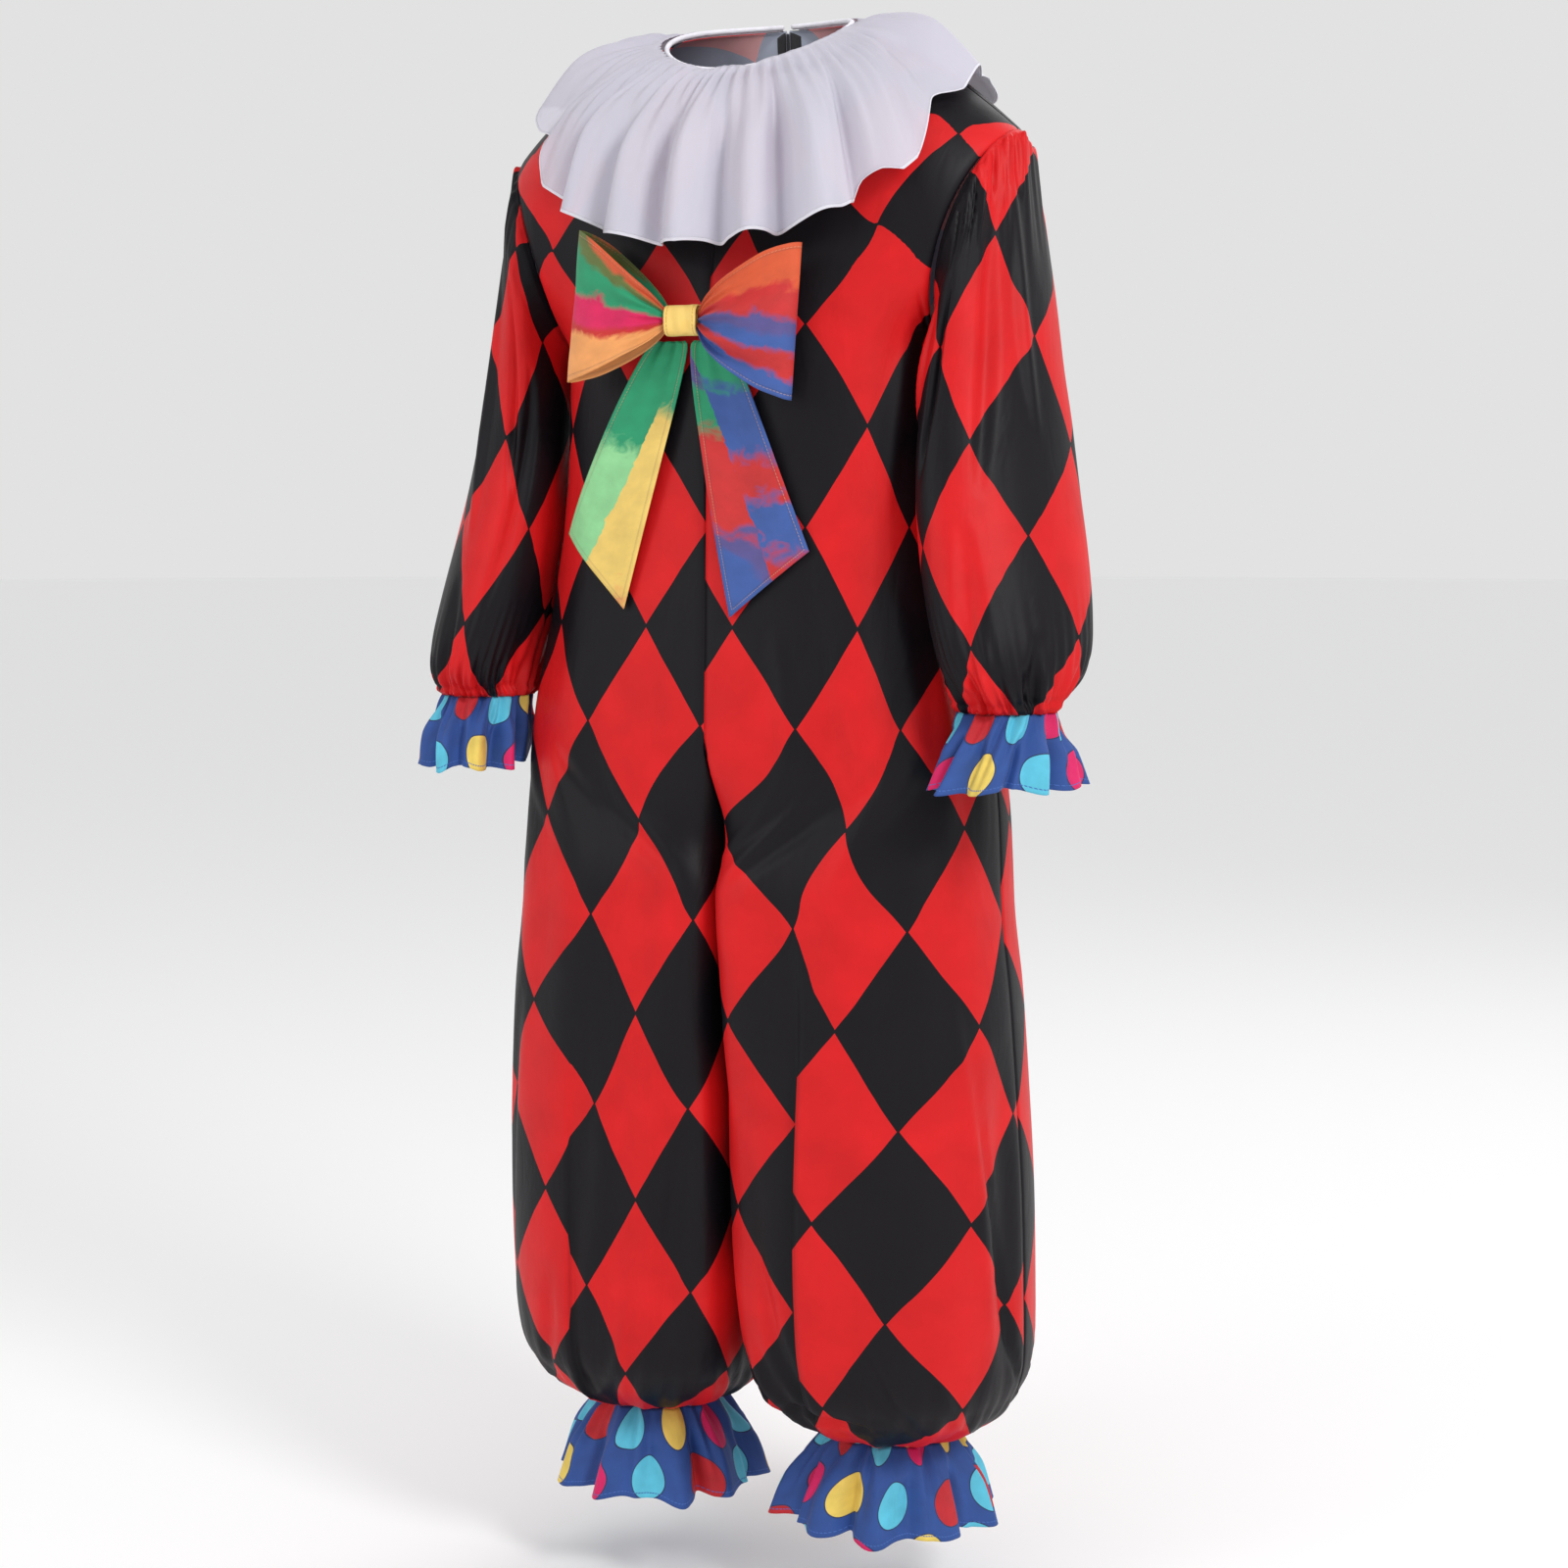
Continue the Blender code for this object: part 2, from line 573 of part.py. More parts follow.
# ==== Sleeves and frills =============================================================================
def sleeve_rows():
    count = len(SLEEVE) - 1
    rows = []
    for index in range(count):
        from_end = index - (count - len(WRIST_GATHER_DEPTHS))
        wrist = WRIST_GATHER_DEPTHS[from_end] if from_end >= 0 else 0.0
        cap = CAP_GATHER_DEPTHS[index] if index < len(CAP_GATHER_DEPTHS) else 0.0
        columns = SLEEVE_COLUMNS
        if cap:
            columns = CAP_GATHERS * SAMPLES_PER_WAVE // 2
        if wrist:
            columns = WRIST_GATHERS * SAMPLES_PER_WAVE
        row = []
        for step in range(columns):
            angle = 2 * math.pi * step / columns
            from_top = min(angle, 2 * math.pi - angle)
            near_top = max(0.0, math.cos(from_top * CAP_GATHER_REACH)) ** 2
            swell = gather(angle, WRIST_GATHERS, wrist) + gather(angle, CAP_GATHERS, cap) * near_top
            row.append(sleeve_ring(index, angle, swell))
        rows.append(row)
    rows[0] = [point + np.array([ARMHOLE_GAP, 0.0, 0.0]) for point in rows[0]]
    return rows


def frill_rows(table, centre, waves, slant):
    rows = []
    columns = waves * SAMPLES_PER_WAVE
    for row in table[1:]:
        level = dict(zip(table[0], row))
        points = []
        for step in range(columns):
            angle = 2 * math.pi * step / columns
            swell = gather(angle, waves, level["wave"])
            x = (level["half_x"] + swell) * math.cos(angle)
            y = -(level["half_y"] + swell) * math.sin(angle)
            spread = level["drop"] / table[-1][0]
            dip = HEM_DIP * spread * math.cos(waves * angle)
            points.append([
                centre[0] + level["shift_x"] + x + slant * spread * y,
                centre[1] + level["shift_y"] + y,
                centre[2] - SEAM_GAP - level["drop"] - dip,
            ])
        rows.append(points)
    return rows


def make_sleeves():
    end = dict(zip(SLEEVE[0], SLEEVE[-1]))
    wrist = ((end["outer_x"] + end["inner_x"]) / 2, end["centre_y"], end["outer_z"])
    ankle = (LEG[-1][1], LEG[-1][5], LEG[-1][0])
    for hand in HANDS:
        rows = mirrored(sleeve_rows(), hand)
        sleeve = wall(
            f"sleeve_{hand}", rows, SATIN, wrap=True, level=(("bottom", "z"),), flip=hand == "left"
        )
        dress(sleeve, "harlequin_satin")
        rows = mirrored(frill_rows(WRIST_FRILL, wrist, WRIST_GATHERS, FRILL_SLANT), hand)
        frill = wall(
            f"wrist_frill_{hand}", rows, FRILL, wrap=True, level=(("top", "z"),), flip=hand == "left"
        )
        dress(frill, "dotted_cotton")
        rows = mirrored(frill_rows(ANKLE_FRILL, ankle, ANKLE_GATHERS, 0.0), hand)
        frill = wall(
            f"ankle_frill_{hand}", rows, FRILL, wrap=True, level=(("top", "z"),), flip=hand == "left"
        )
        dress(frill, "dotted_cotton")


# ==== Collar and neck binding ========================================================================
def hem_point(angle):
    degrees = math.degrees(abs(angle))
    angles = column(COLLAR_HEM, "angle_deg")
    x, y, z = (smooth(angles, column(COLLAR_HEM, axis), degrees) for axis in "xyz")
    return np.array([math.copysign(x, angle), y, z])


def neck_edge(angle):
    """The panels' neckline, which runs straight between their corners."""
    step = math.pi / 2 / (YOKE_ROWS - CENTRE_ROWS)
    low = math.floor(angle / step) * step
    share = (angle - low) / step
    return (1 - share) * neck_point(low) + share * neck_point(low + step)


def shoulder_cloth():
    """Points all over the left half's yoke, for laying the collar on it."""
    steps = np.linspace(0, 1, SHOULDER_SAMPLES)
    return np.array([yoke_point(face, s, up) for face in FACES for s in steps for up in steps])


def height_under(cloth, point):
    """The height of the yoke under a point: the highest of the nearest places on it."""
    apart = (cloth[:, 0] - abs(point[0])) ** 2 + (cloth[:, 1] - point[1]) ** 2
    return float(np.max(cloth[np.argsort(apart)[:NEAREST_SAMPLES], 2]))


def collar_rows():
    """From one side of the back opening, round the front, to the other."""
    cloth = shoulder_cloth()
    columns = COLLAR_WAVES * SAMPLES_PER_WAVE
    rows = []
    levels = len(COLLAR_WAVE_DEPTHS)
    for level, depth in enumerate(COLLAR_WAVE_DEPTHS):
        down = level / (levels - 1)
        row = []
        for step in range(columns + 1):
            phase = math.pi * (2 * step / columns - 1)
            sway = math.sin(COLLAR_UNEVEN_TURNS * phase)
            angle = phase + COLLAR_UNEVEN_SPACING * sway * math.sin(phase) ** 2
            neck, hem = neck_edge(angle), hem_point(angle)
            outward = unit(np.array([neck[0], neck[1] - NECK_CENTRE_Y, 0.0]))
            start = neck + outward * COLLAR_STAND_OFF + np.array([0.0, 0.0, COLLAR_LIFT])
            span = hem - start
            lift = unit(np.array([0.0, 0.0, 1.0]) - unit(span) * unit(span)[2])
            arch = COLLAR_ARCH * math.sin(math.pi * down**COLLAR_ARCH_LEAN)
            wave = depth * math.cos(COLLAR_WAVES * phase) * (1 + COLLAR_UNEVEN_DEPTH * sway)
            point = start + span * down + lift * (arch + wave)
            half_gap = COLLAR_OPENING_NECK + (COLLAR_OPENING_HEM - COLLAR_OPENING_NECK) * down
            share = abs(angle) / math.pi
            if share > COLLAR_PARTS_FROM:
                part = ease((share - COLLAR_PARTS_FROM) / (1 - COLLAR_PARTS_FROM))
                point[0] += math.copysign(half_gap, angle) * part
            clear = COLLAR_CLEAR + COLLAR_CLEAR_HEM * down
            point[2] = max(point[2], height_under(cloth, point) + clear)
            row.append(point)
        rows.append(row)
    return rows


def make_collar():
    collar = wall("collar_frill", collar_rows(), FRILL, level=(("start", "x"), ("end", "x")))
    dress(collar, "white_chiffon")


def make_binding():
    """A narrow rolled edge on top of the neckline, open at the zip."""
    step = math.pi / 2 / (YOKE_ROWS - CENTRE_ROWS)
    start = BINDING_OPENING / NECK_HALF_WIDTH
    corners = 4 * (YOKE_ROWS - CENTRE_ROWS) - 1
    turns = [math.pi - start]
    turns += [math.pi - step * (k + 1) for k in range(corners)]
    turns.append(start - math.pi)
    points, faces = [], []
    for angle in turns:
        ahead = unit(neck_point(angle - 0.01) - neck_point(angle + 0.01))
        side = unit(np.cross(ahead, (0.0, 0.0, 1.0)))
        up = np.cross(side, ahead)
        middle = neck_edge(angle) + up * (BINDING_RADIUS + SEAM_GAP) + side * BINDING_INSET
        for corner in range(BINDING_SIDES):
            turn = 2 * math.pi * corner / BINDING_SIDES
            points.append(middle + BINDING_RADIUS * (math.cos(turn) * side + math.sin(turn) * up))
    for ring in range(len(turns) - 1):
        for corner in range(BINDING_SIDES):
            a = ring * BINDING_SIDES + corner
            b = ring * BINDING_SIDES + (corner + 1) % BINDING_SIDES
            faces.append((a, b, b + BINDING_SIDES, a + BINDING_SIDES))
    faces.append(tuple(range(BINDING_SIDES)))
    faces.append(tuple(len(points) - BINDING_SIDES + k for k in range(BINDING_SIDES)))
    dress(solid("neck_binding", points, faces), "white_chiffon")


# ==== Bow ============================================================================================
def across_row(row, x):
    """The point of a panel's row at a distance x from the centre."""
    places = [point[0] for point in row]
    return np.array([x] + [np.interp(x, places, [point[k] for point in row]) for k in (1, 2)])


def panel_spot(rows, level, x):
    """A point on the panel's faces, where level counts its rows from the shoulder."""
    low = min(int(level), len(rows) - 2)
    share = level - low
    return (1 - share) * across_row(rows[low], x) + share * across_row(rows[low + 1], x)


def chest_y(rows, x, z):
    """Where the front panels stand at this place."""
    heights = [row[0][2] for row in rows]
    level = np.interp(-z, [-height for height in heights], range(len(rows)))
    return panel_spot(rows, max(level, float(YOKE_ROWS)), abs(x))[1]


def loop_rows(hand):
    """One loop of the bow: rows run across the ribbon, from its top edge to its low edge."""
    tilt = math.radians(LOOP_TILT_DEG[hand])
    side = HANDS[hand]
    rows = []
    for level in range(LOOP_ROWS + 1):
        height = 1 - 2 * level / LOOP_ROWS
        row = []
        for entry in LOOP[1:]:
            place = dict(zip(LOOP[0], entry))
            fade = math.sin(math.pi * place["reach"] / max(column(LOOP, "reach")))
            pleat = LOOP_PLEAT * fade * math.cos(math.pi * LOOP_ROWS * (height + 1) / 2)
            up = place["rise"] + height * place["half_height"]
            out, z = place["reach"], up
            x = out * math.cos(tilt) + z * math.sin(tilt)
            z = z * math.cos(tilt) - out * math.sin(tilt)
            y = -place["forward"] - (pleat if place["forward"] > 0 else 0.0)
            row.append([
                KNOT_CENTRE[0] + side * x,
                KNOT_CENTRE[1] + y,
                KNOT_CENTRE[2] + z,
            ])
        rows.append(row)
    return rows


def knot_rows():
    """The band round the middle of the bow: a short tube that runs across."""
    rows = []
    for row in KNOT[1:]:
        place, size = row
        points = []
        for step in range(KNOT_STEPS):
            turn = 2 * math.pi * step / KNOT_STEPS
            points.append([
                KNOT_CENTRE[0] + place * KNOT_HALF_WIDTH,
                KNOT_CENTRE[1] - size * KNOT_HALF_DEPTH * power(math.cos(turn), KNOT_SQUARENESS),
                KNOT_CENTRE[2] + size * KNOT_HALF_HEIGHT * power(math.sin(turn), KNOT_SQUARENESS),
            ])
        rows.append(points)
    return rows


def tail_rows(hand):
    """A hanging end of the ribbon, with its slanted cut, laid over the chest."""
    chest = panel_rows("front")[: YOKE_ROWS + len(BODY_LEVELS)]
    top, outer, inner, half_top = TAILS[hand]
    side = HANDS[hand]
    rows = []
    for level in range(TAIL_ROWS + 1):
        down = level / TAIL_ROWS
        row = []
        for step in range(TAIL_COLUMNS + 1):
            across = step / TAIL_COLUMNS
            middle = top[0] + ((outer[0] + inner[0]) / 2 - top[0]) * down
            narrow, wide = side * half_top, (outer[0] - inner[0]) / 2
            x = middle + (narrow + (wide - narrow) * down**TAIL_SPREAD) * (1 - 2 * across)
            z = top[1] + (outer[1] + (inner[1] - outer[1]) * across - top[1]) * down
            ripple = TAIL_RIPPLE * math.sin(math.pi * down) * math.cos(2 * math.pi * across)
            away = TAIL_STAND_OFF + TAIL_TOP_STAND_OFF * (1 - down)
            row.append([x, chest_y(chest, x, z) - away - ripple, z])
        rows.append(row)
    return rows


def make_bow():
    for hand in HANDS:
        loop = wall(f"bow_loop_{hand}", loop_rows(hand), RIBBON, flip=hand == "left")
        dress(loop, "dyed_ribbon")
        tail = wall(f"bow_tail_{hand}", tail_rows(hand), RIBBON, flip=hand == "left")
        dress(tail, "dyed_ribbon")
    dress(wall("bow_knot", knot_rows(), RIBBON, wrap=True), "knot_ribbon")


# ==== Zip and label ==================================================================================
def back_frame(rows, level, x):
    """A point on the back panel's faces, the way down its row and the way out."""
    here = panel_spot(rows, level, x)
    down = unit(panel_spot(rows, level + SMALL, x) - here)
    across = unit(panel_spot(rows, level, x + SMALL) - here)
    return here, down, unit(np.cross(across, down))


def inside_strip(name, low_x, high_x, depth, thickness, levels):
    """A strip down the inside of the left back, between two distances from the centre back."""
    panel = panel_rows("back")
    rows = []
    for level in levels:
        row = []
        for x in (low_x, high_x):
            here, _, out = back_frame(panel, level, x)
            row.append(here - out * (SATIN + depth))
        rows.append(row)
    return wall(name, rows, thickness, flip=True)


def make_zip():
    levels = range(NECK_LEVEL, ZIP_FOOT_LEVEL + 1)
    levels = [NECK_LEVEL + ZIP_TOP_DROP, *levels[1:]]
    edge = ZIP_TAPE_GAP + ZIP_TAPE_WIDTH
    for hand in HANDS:
        name = f"zip_tape_{hand}"
        tape = inside_strip(name, ZIP_TAPE_GAP, edge, ZIP_STAND_OFF, ZIP_TAPE, levels)
        if hand == "right":
            reflect(tape)
        dress(tape, "zip_tape")
    panel = panel_rows("back")
    rows = []
    for level in levels:
        here, _, out = back_frame(panel, level, SMALL)
        middle = here - out * (SATIN + ZIP_STAND_OFF)
        rows.append([(x, middle[1], middle[2]) for x in (ZIP_CHAIN_HALF_WIDTH, -ZIP_CHAIN_HALF_WIDTH)])
    dress(wall("zip_chain", rows, ZIP_CHAIN), "zip_tape")


def reflect(thing):
    """Turns a left piece into its right twin."""
    thing.data.transform(Matrix.Diagonal((-1.0, 1.0, 1.0, 1.0)))
    thing.data.flip_normals()


def box(name, centre, half):
    points = [
        [centre[k] + half[k] * (1 if corner >> k & 1 else -1) for k in range(3)]
        for corner in range(8)
    ]
    faces = [(0, 2, 3, 1), (4, 5, 7, 6), (0, 1, 5, 4), (2, 6, 7, 3), (0, 4, 6, 2), (1, 3, 7, 5)]
    return solid(name, points, faces)


def rod(name, radius, half_length, sides, centre):
    """A round bar along X."""
    points, faces = [], []
    for x in (-half_length, half_length):
        for k in range(sides):
            turn = 2 * math.pi * k / sides
            points.append([
                centre[0] + x,
                centre[1] + radius * math.cos(turn),
                centre[2] + radius * math.sin(turn),
            ])
    for k in range(sides):
        after = (k + 1) % sides
        faces.append((k, after, after + sides, k + sides))
    faces.append(tuple(range(sides)))
    faces.append(tuple(range(sides, 2 * sides)))
    return solid(name, points, faces)


def combine(base, other, operation):
    """Joins or cuts with a Boolean modifier, and keeps the other as a hidden cutter."""
    change = base.modifiers.new(other.name, "BOOLEAN")
    change.operation = operation
    change.object = other
    other.hide_render = True
    other.display_type = "WIRE"


def place_on_seam(things, level, lift):
    """Stands things, made with +Y outward and +Z upward, on the outside of the centre back."""
    here, _, out = back_frame(panel_rows("back"), level, SMALL)
    out = unit(np.array([0.0, out[1], out[2]]))
    up = np.cross((1.0, 0.0, 0.0), out)
    spot = here + out * lift
    for thing in things:
        thing.matrix_world = Matrix((
            (1.0, out[0], up[0], 0.0),
            (0.0, out[1], up[1], spot[1]),
            (0.0, out[2], up[2], spot[2]),
            (0.0, 0.0, 0.0, 1.0),
        ))


def make_slider():
    """A plate with two ears and the pin that the pull hangs on."""
    plate_y = SLIDER_PLATE / 2
    ear_x = SLIDER_HALF_WIDTH - EAR_THICKNESS / 2
    ear_half = (EAR_THICKNESS / 2, (EAR_HEIGHT + plate_y) / 2, EAR_HALF_LENGTH)
    slider = box("zip_slider", (0, plate_y, 0), (SLIDER_HALF_WIDTH, plate_y, SLIDER_HALF_LENGTH))
    extras = [rod("pin", PIN_RADIUS, ear_x, 10, (0, PIN_HEIGHT, 0))]
    for side in (-1, 1):
        extras.append(box(f"ear_{side}", (side * ear_x, plate_y + ear_half[1], 0), ear_half))
    for extra in extras:
        combine(slider, extra, "UNION")
    place_on_seam([slider, *extras], SLIDER_LEVEL, SLIDER_LIFT)
    dress(slider, "zip_metal")


def make_pull():
    """A flat tab with a round eye. Its origin is on the pin's axis."""
    blade_half = (PULL_LENGTH - BLADE_TOP) / 2
    blade_middle = (0, 0, -BLADE_TOP - blade_half)
    pull = rod("zip_pull", PULL_EYE_RADIUS, PULL_HALF_WIDTH, 12, (0, 0, 0))
    blade = box("blade", blade_middle, (PULL_HALF_WIDTH, PULL_THICKNESS / 2, blade_half))
    eye = rod("eye", PULL_EYE_BORE, 2 * PULL_HALF_WIDTH, 12, (0, 0, 0))
    combine(pull, blade, "UNION")
    combine(pull, eye, "DIFFERENCE")
    place_on_seam([pull, blade, eye], SLIDER_LEVEL, SLIDER_LIFT + PIN_HEIGHT)
    dress(pull, "zip_metal")


def make_label():
    label = inside_strip(
        "neck_label",
        LABEL_OFFSET_X,
        LABEL_OFFSET_X + LABEL_WIDTH,
        LABEL_STAND_OFF,
        LABEL_THICKNESS,
        LABEL_LEVELS,
    )
    dress(label, "label_cloth")


def main():
    for thing in list(bpy.data.objects):
        bpy.data.objects.remove(thing)
    make_panels()
    make_sleeves()
    make_collar()
    make_binding()
    make_bow()
    make_zip()
    make_slider()
    make_pull()
    make_label()


main()
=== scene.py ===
"""The clown jumpsuit's finished looks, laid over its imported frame.

Metres, in the frame's own axes: +Z up, the front faces -Y and the wearer's left is +X. Each cloth
piece is a thin shell on its solid's form, with its creases, gathers, stitching and cloth.
"""

import math

import bpy
import numpy as np
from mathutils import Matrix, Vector


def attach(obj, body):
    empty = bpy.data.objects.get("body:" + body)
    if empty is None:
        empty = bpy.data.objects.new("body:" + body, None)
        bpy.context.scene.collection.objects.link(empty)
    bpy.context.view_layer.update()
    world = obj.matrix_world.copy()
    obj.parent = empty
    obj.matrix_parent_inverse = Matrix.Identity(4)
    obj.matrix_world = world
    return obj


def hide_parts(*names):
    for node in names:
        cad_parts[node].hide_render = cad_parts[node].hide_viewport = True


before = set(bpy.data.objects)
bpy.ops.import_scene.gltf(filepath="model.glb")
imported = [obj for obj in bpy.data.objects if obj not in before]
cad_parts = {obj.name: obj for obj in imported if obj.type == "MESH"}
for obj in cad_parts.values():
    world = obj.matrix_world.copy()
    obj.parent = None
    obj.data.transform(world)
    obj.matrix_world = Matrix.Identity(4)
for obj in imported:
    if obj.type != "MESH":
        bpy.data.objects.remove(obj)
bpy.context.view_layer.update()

# ---- The solids' own sizes ------------------------------------------------------------------------
NECK_HALF_WIDTH = 0.095
NECK_HALF_DEPTH = 0.068
NECK_CENTRE_Y = -0.015
NECK_FRONT_Z = -0.042
NECK_BACK_Z = 0.018
SHOULDER_BULGE = 0.014
TORSO = [
    ("z", "half_width", "front", "back"),
    (-0.300, 0.1930, 0.130, 0.128),
    (-0.440, 0.2000, 0.132, 0.131),
    (-0.560, 0.2160, 0.135, 0.134),
    (-0.660, 0.2370, 0.138, 0.138),
    (-0.830, 0.2515, 0.140, 0.144),
]
LEG = [
    ("z", "centre_x", "half_width", "front", "back", "centre_y", "inner_square"),
    (-0.660, 0.1242, 0.1238, 0.137, 0.138, 0.000, 0.13),
    (-0.830, 0.1257, 0.1253, 0.139, 0.139, 0.000, 0.20),
    (-0.920, 0.1320, 0.1285, 0.141, 0.141, 0.000, 0.26),
    (-1.020, 0.1355, 0.1320, 0.142, 0.142, 0.002, 0.30),
    (-1.110, 0.1380, 0.1345, 0.140, 0.140, 0.005, 0.34),
    (-1.210, 0.1390, 0.1350, 0.138, 0.138, 0.009, 0.42),
    (-1.270, 0.1390, 0.1340, 0.135, 0.135, 0.013, 0.52),
    (-1.315, 0.1375, 0.1240, 0.124, 0.124, 0.016, 0.66),
    (-1.345, 0.1345, 0.1030, 0.103, 0.103, 0.019, 0.84),
    (-1.360, 0.1325, 0.0800, 0.080, 0.080, 0.020, 0.95),
    (-1.367, 0.1315, 0.0620, 0.062, 0.062, 0.020, 1.00),
]
FORK_TOP_Z = -0.66
FORK_Z = -0.82
SQUARENESS = 0.76
LEG_SQUARENESS = 0.90
UNDERARM_Z = -0.300
ANKLE_Z = -1.367
YOKE_CORNER = 5 / 11  # share of the yoke's height at which its inner side turns into the neckline
CENTRE_TOP_CURVE = 1.6
CENTRE_LOW_CURVE = 1.6
ANKLE_GATHERS = 14
ANKLE_GATHER = [
    ("z", "depth"),
    (-1.315, 0.0),
    (-1.345, 0.0030),
    (-1.360, 0.0038),
    (-1.367, 0.0028),
]
GATHER_UNEVEN = 0.28
GATHER_UNEVEN_TURNS = 5
GATHER_SWAY = 0.55
GATHER_SWAY_TURNS = 3
FOLDS = [
    ("face", "share", "half_share", "top_z", "low_z", "depth"),
    ("front", 0.84, 0.10, -0.33, -0.80, -0.007),
    ("front", 0.40, 0.16, -0.40, -1.00, 0.005),
    ("front", 0.64, 0.13, -0.62, -1.10, -0.006),
    ("front", 0.93, 0.07, -0.95, -1.33, -0.009),
    ("front", 0.34, 0.15, -0.95, -1.32, -0.007),
    ("back", 0.78, 0.13, -0.34, -0.90, -0.007),
    ("back", 0.40, 0.16, -0.45, -1.05, 0.006),
    ("back", 0.62, 0.13, -0.80, -1.32, -0.007),
    ("back", 0.25, 0.13, -0.95, -1.32, 0.005),
]
SLEEVE = [
    ("outer_x", "outer_z", "inner_x", "inner_z", "centre_y", "half_depth", "slant"),
    (0.2620, -0.100, 0.1960, -0.300, 0.004, 0.085, 0.00),
    (0.2660, -0.110, 0.1970, -0.306, 0.002, 0.088, 0.03),
    (0.2695, -0.142, 0.1985, -0.316, -0.003, 0.088, 0.08),
    (0.2755, -0.188, 0.2000, -0.332, -0.010, 0.085, 0.16),
    (0.2825, -0.243, 0.2010, -0.354, -0.018, 0.082, 0.26),
    (0.2905, -0.303, 0.2020, -0.384, -0.026, 0.080, 0.33),
    (0.3000, -0.363, 0.2040, -0.420, -0.033, 0.083, 0.36),
    (0.3105, -0.424, 0.2070, -0.461, -0.040, 0.085, 0.36),
    (0.3235, -0.484, 0.2130, -0.507, -0.048, 0.085, 0.35),
    (0.3350, -0.540, 0.2210, -0.552, -0.057, 0.083, 0.32),
    (0.3400, -0.582, 0.2290, -0.588, -0.063, 0.080, 0.26),
    (0.3360, -0.606, 0.2345, -0.610, -0.066, 0.072, 0.18),
    (0.3280, -0.624, 0.2365, -0.626, -0.068, 0.058, 0.08),
    (0.3220, -0.636, 0.2360, -0.636, -0.068, 0.045, 0.00),
]
ARMHOLE_DENT = 0.012
DENT_RINGS = 2
WRIST_GATHERS = 14
WRIST_GATHER = [("ring", "depth"), (9, 0.0), (10, 0.0), (11, 0.0028), (12, 0.0034), (13, 0.0025)]
CAP_GATHERS = 14
CAP_GATHER_REACH = 0.8
CAP_GATHER = [("ring", "depth"), (0, 0.0), (1, 0.0036), (2, 0.0030), (3, 0.0016), (4, 0.0)]
WRIST_FRILL = [
    ("drop", "half_x", "half_y", "wave", "shift_x", "shift_y"),
    (0.0000, 0.0430, 0.0450, 0.0025, 0.0000, 0.0000),
    (0.0220, 0.0450, 0.0560, 0.0050, 0.0025, -0.0050),
    (0.0500, 0.0480, 0.0680, 0.0072, 0.0065, -0.0100),
    (0.0780, 0.0500, 0.0780, 0.0085, 0.0095, -0.0140),
]
ANKLE_FRILL = [
    ("drop", "half_x", "half_y", "wave", "shift_x", "shift_y"),
    (0.0000, 0.0620, 0.0620, 0.0028, 0.0000, 0.0000),
    (0.0200, 0.0770, 0.0750, 0.0056, -0.0010, -0.0020),
    (0.0480, 0.0920, 0.0900, 0.0080, -0.0030, -0.0040),
    (0.0800, 0.1040, 0.1020, 0.0100, -0.0040, -0.0060),
]
FRILL_SLANT = 0.30
HEM_DIP = 0.0040
COLLAR_HEM = [
    ("angle_deg", "x", "y", "z"),
    (0.0, 0.000, -0.170, -0.208),
    (30.0, 0.112, -0.158, -0.192),
    (60.0, 0.198, -0.107, -0.139),
    (90.0, 0.226, -0.014, -0.052),
    (120.0, 0.196, 0.078, -0.083),
    (150.0, 0.114, 0.130, -0.106),
    (180.0, 0.000, 0.148, -0.122),
]
COLLAR_WAVES = 22
COLLAR_WAVE = [("down", "depth"), (0, 0.0020), (0.25, 0.0048), (0.5, 0.0085), (0.75, 0.0115), (1, 0.0135)]
COLLAR_UNEVEN_TURNS = 5
COLLAR_UNEVEN_SPACING = 0.050
COLLAR_UNEVEN_DEPTH = 0.34
COLLAR_ARCH = 0.026
COLLAR_ARCH_LEAN = 0.75
COLLAR_LIFT = 0.0020
COLLAR_PARTS_FROM = 0.94
COLLAR_CLEAR = 0.0055
COLLAR_CLEAR_HEM = 0.0050
COLLAR_STAND_OFF = 0.0045
COLLAR_OPENING_NECK = 0.008
COLLAR_OPENING_HEM = 0.024
BINDING_RADIUS = 0.0026
BINDING_OPENING = 0.004
BINDING_INSET = 0.0016
KNOT_CENTRE = (-0.013, -0.1490, -0.276)
KNOT_HALF_WIDTH = 0.0165
KNOT_HALF_HEIGHT = 0.0150
KNOT_HALF_DEPTH = 0.0105
KNOT_SQUARENESS = 0.7
LOOP = [
    ("reach", "half_height", "rise", "forward"),
    (0.0152, 0.0062, 0.000, 0.0030),
    (0.0300, 0.0230, 0.000, 0.0140),
    (0.0550, 0.0420, 0.001, 0.0220),
    (0.0850, 0.0600, 0.003, 0.0210),
    (0.1080, 0.0690, 0.004, 0.0130),
    (0.1160, 0.0710, 0.004, 0.0030),
    (0.1080, 0.0690, 0.004, -0.0045),
    (0.0850, 0.0600, 0.003, -0.0062),
    (0.0550, 0.0420, 0.001, -0.0062),
    (0.0300, 0.0230, 0.000, -0.0050),
    (0.0152, 0.0062, 0.000, -0.0030),
]
LOOP_PLEAT = 0.0026
LOOP_ROWS = 6
LOOP_TILT_DEG = {"left": 4.3, "right": -6.0}
TAILS = [  # each tail's middle at the knot, the two corners of its end, and half its width at the knot
    ("hand", "top", "outer", "inner", "half_top"),
    ("right", (-0.033, -0.294), (-0.164, -0.474), (-0.086, -0.545), 0.015),
    ("left", (0.008, -0.294), (0.106, -0.489), (0.029, -0.551), 0.015),
]
TAIL_STAND_OFF = 0.0062
TAIL_TOP_STAND_OFF = 0.0040
TAIL_RIPPLE = 0.0032
TAIL_SPREAD = 0.42
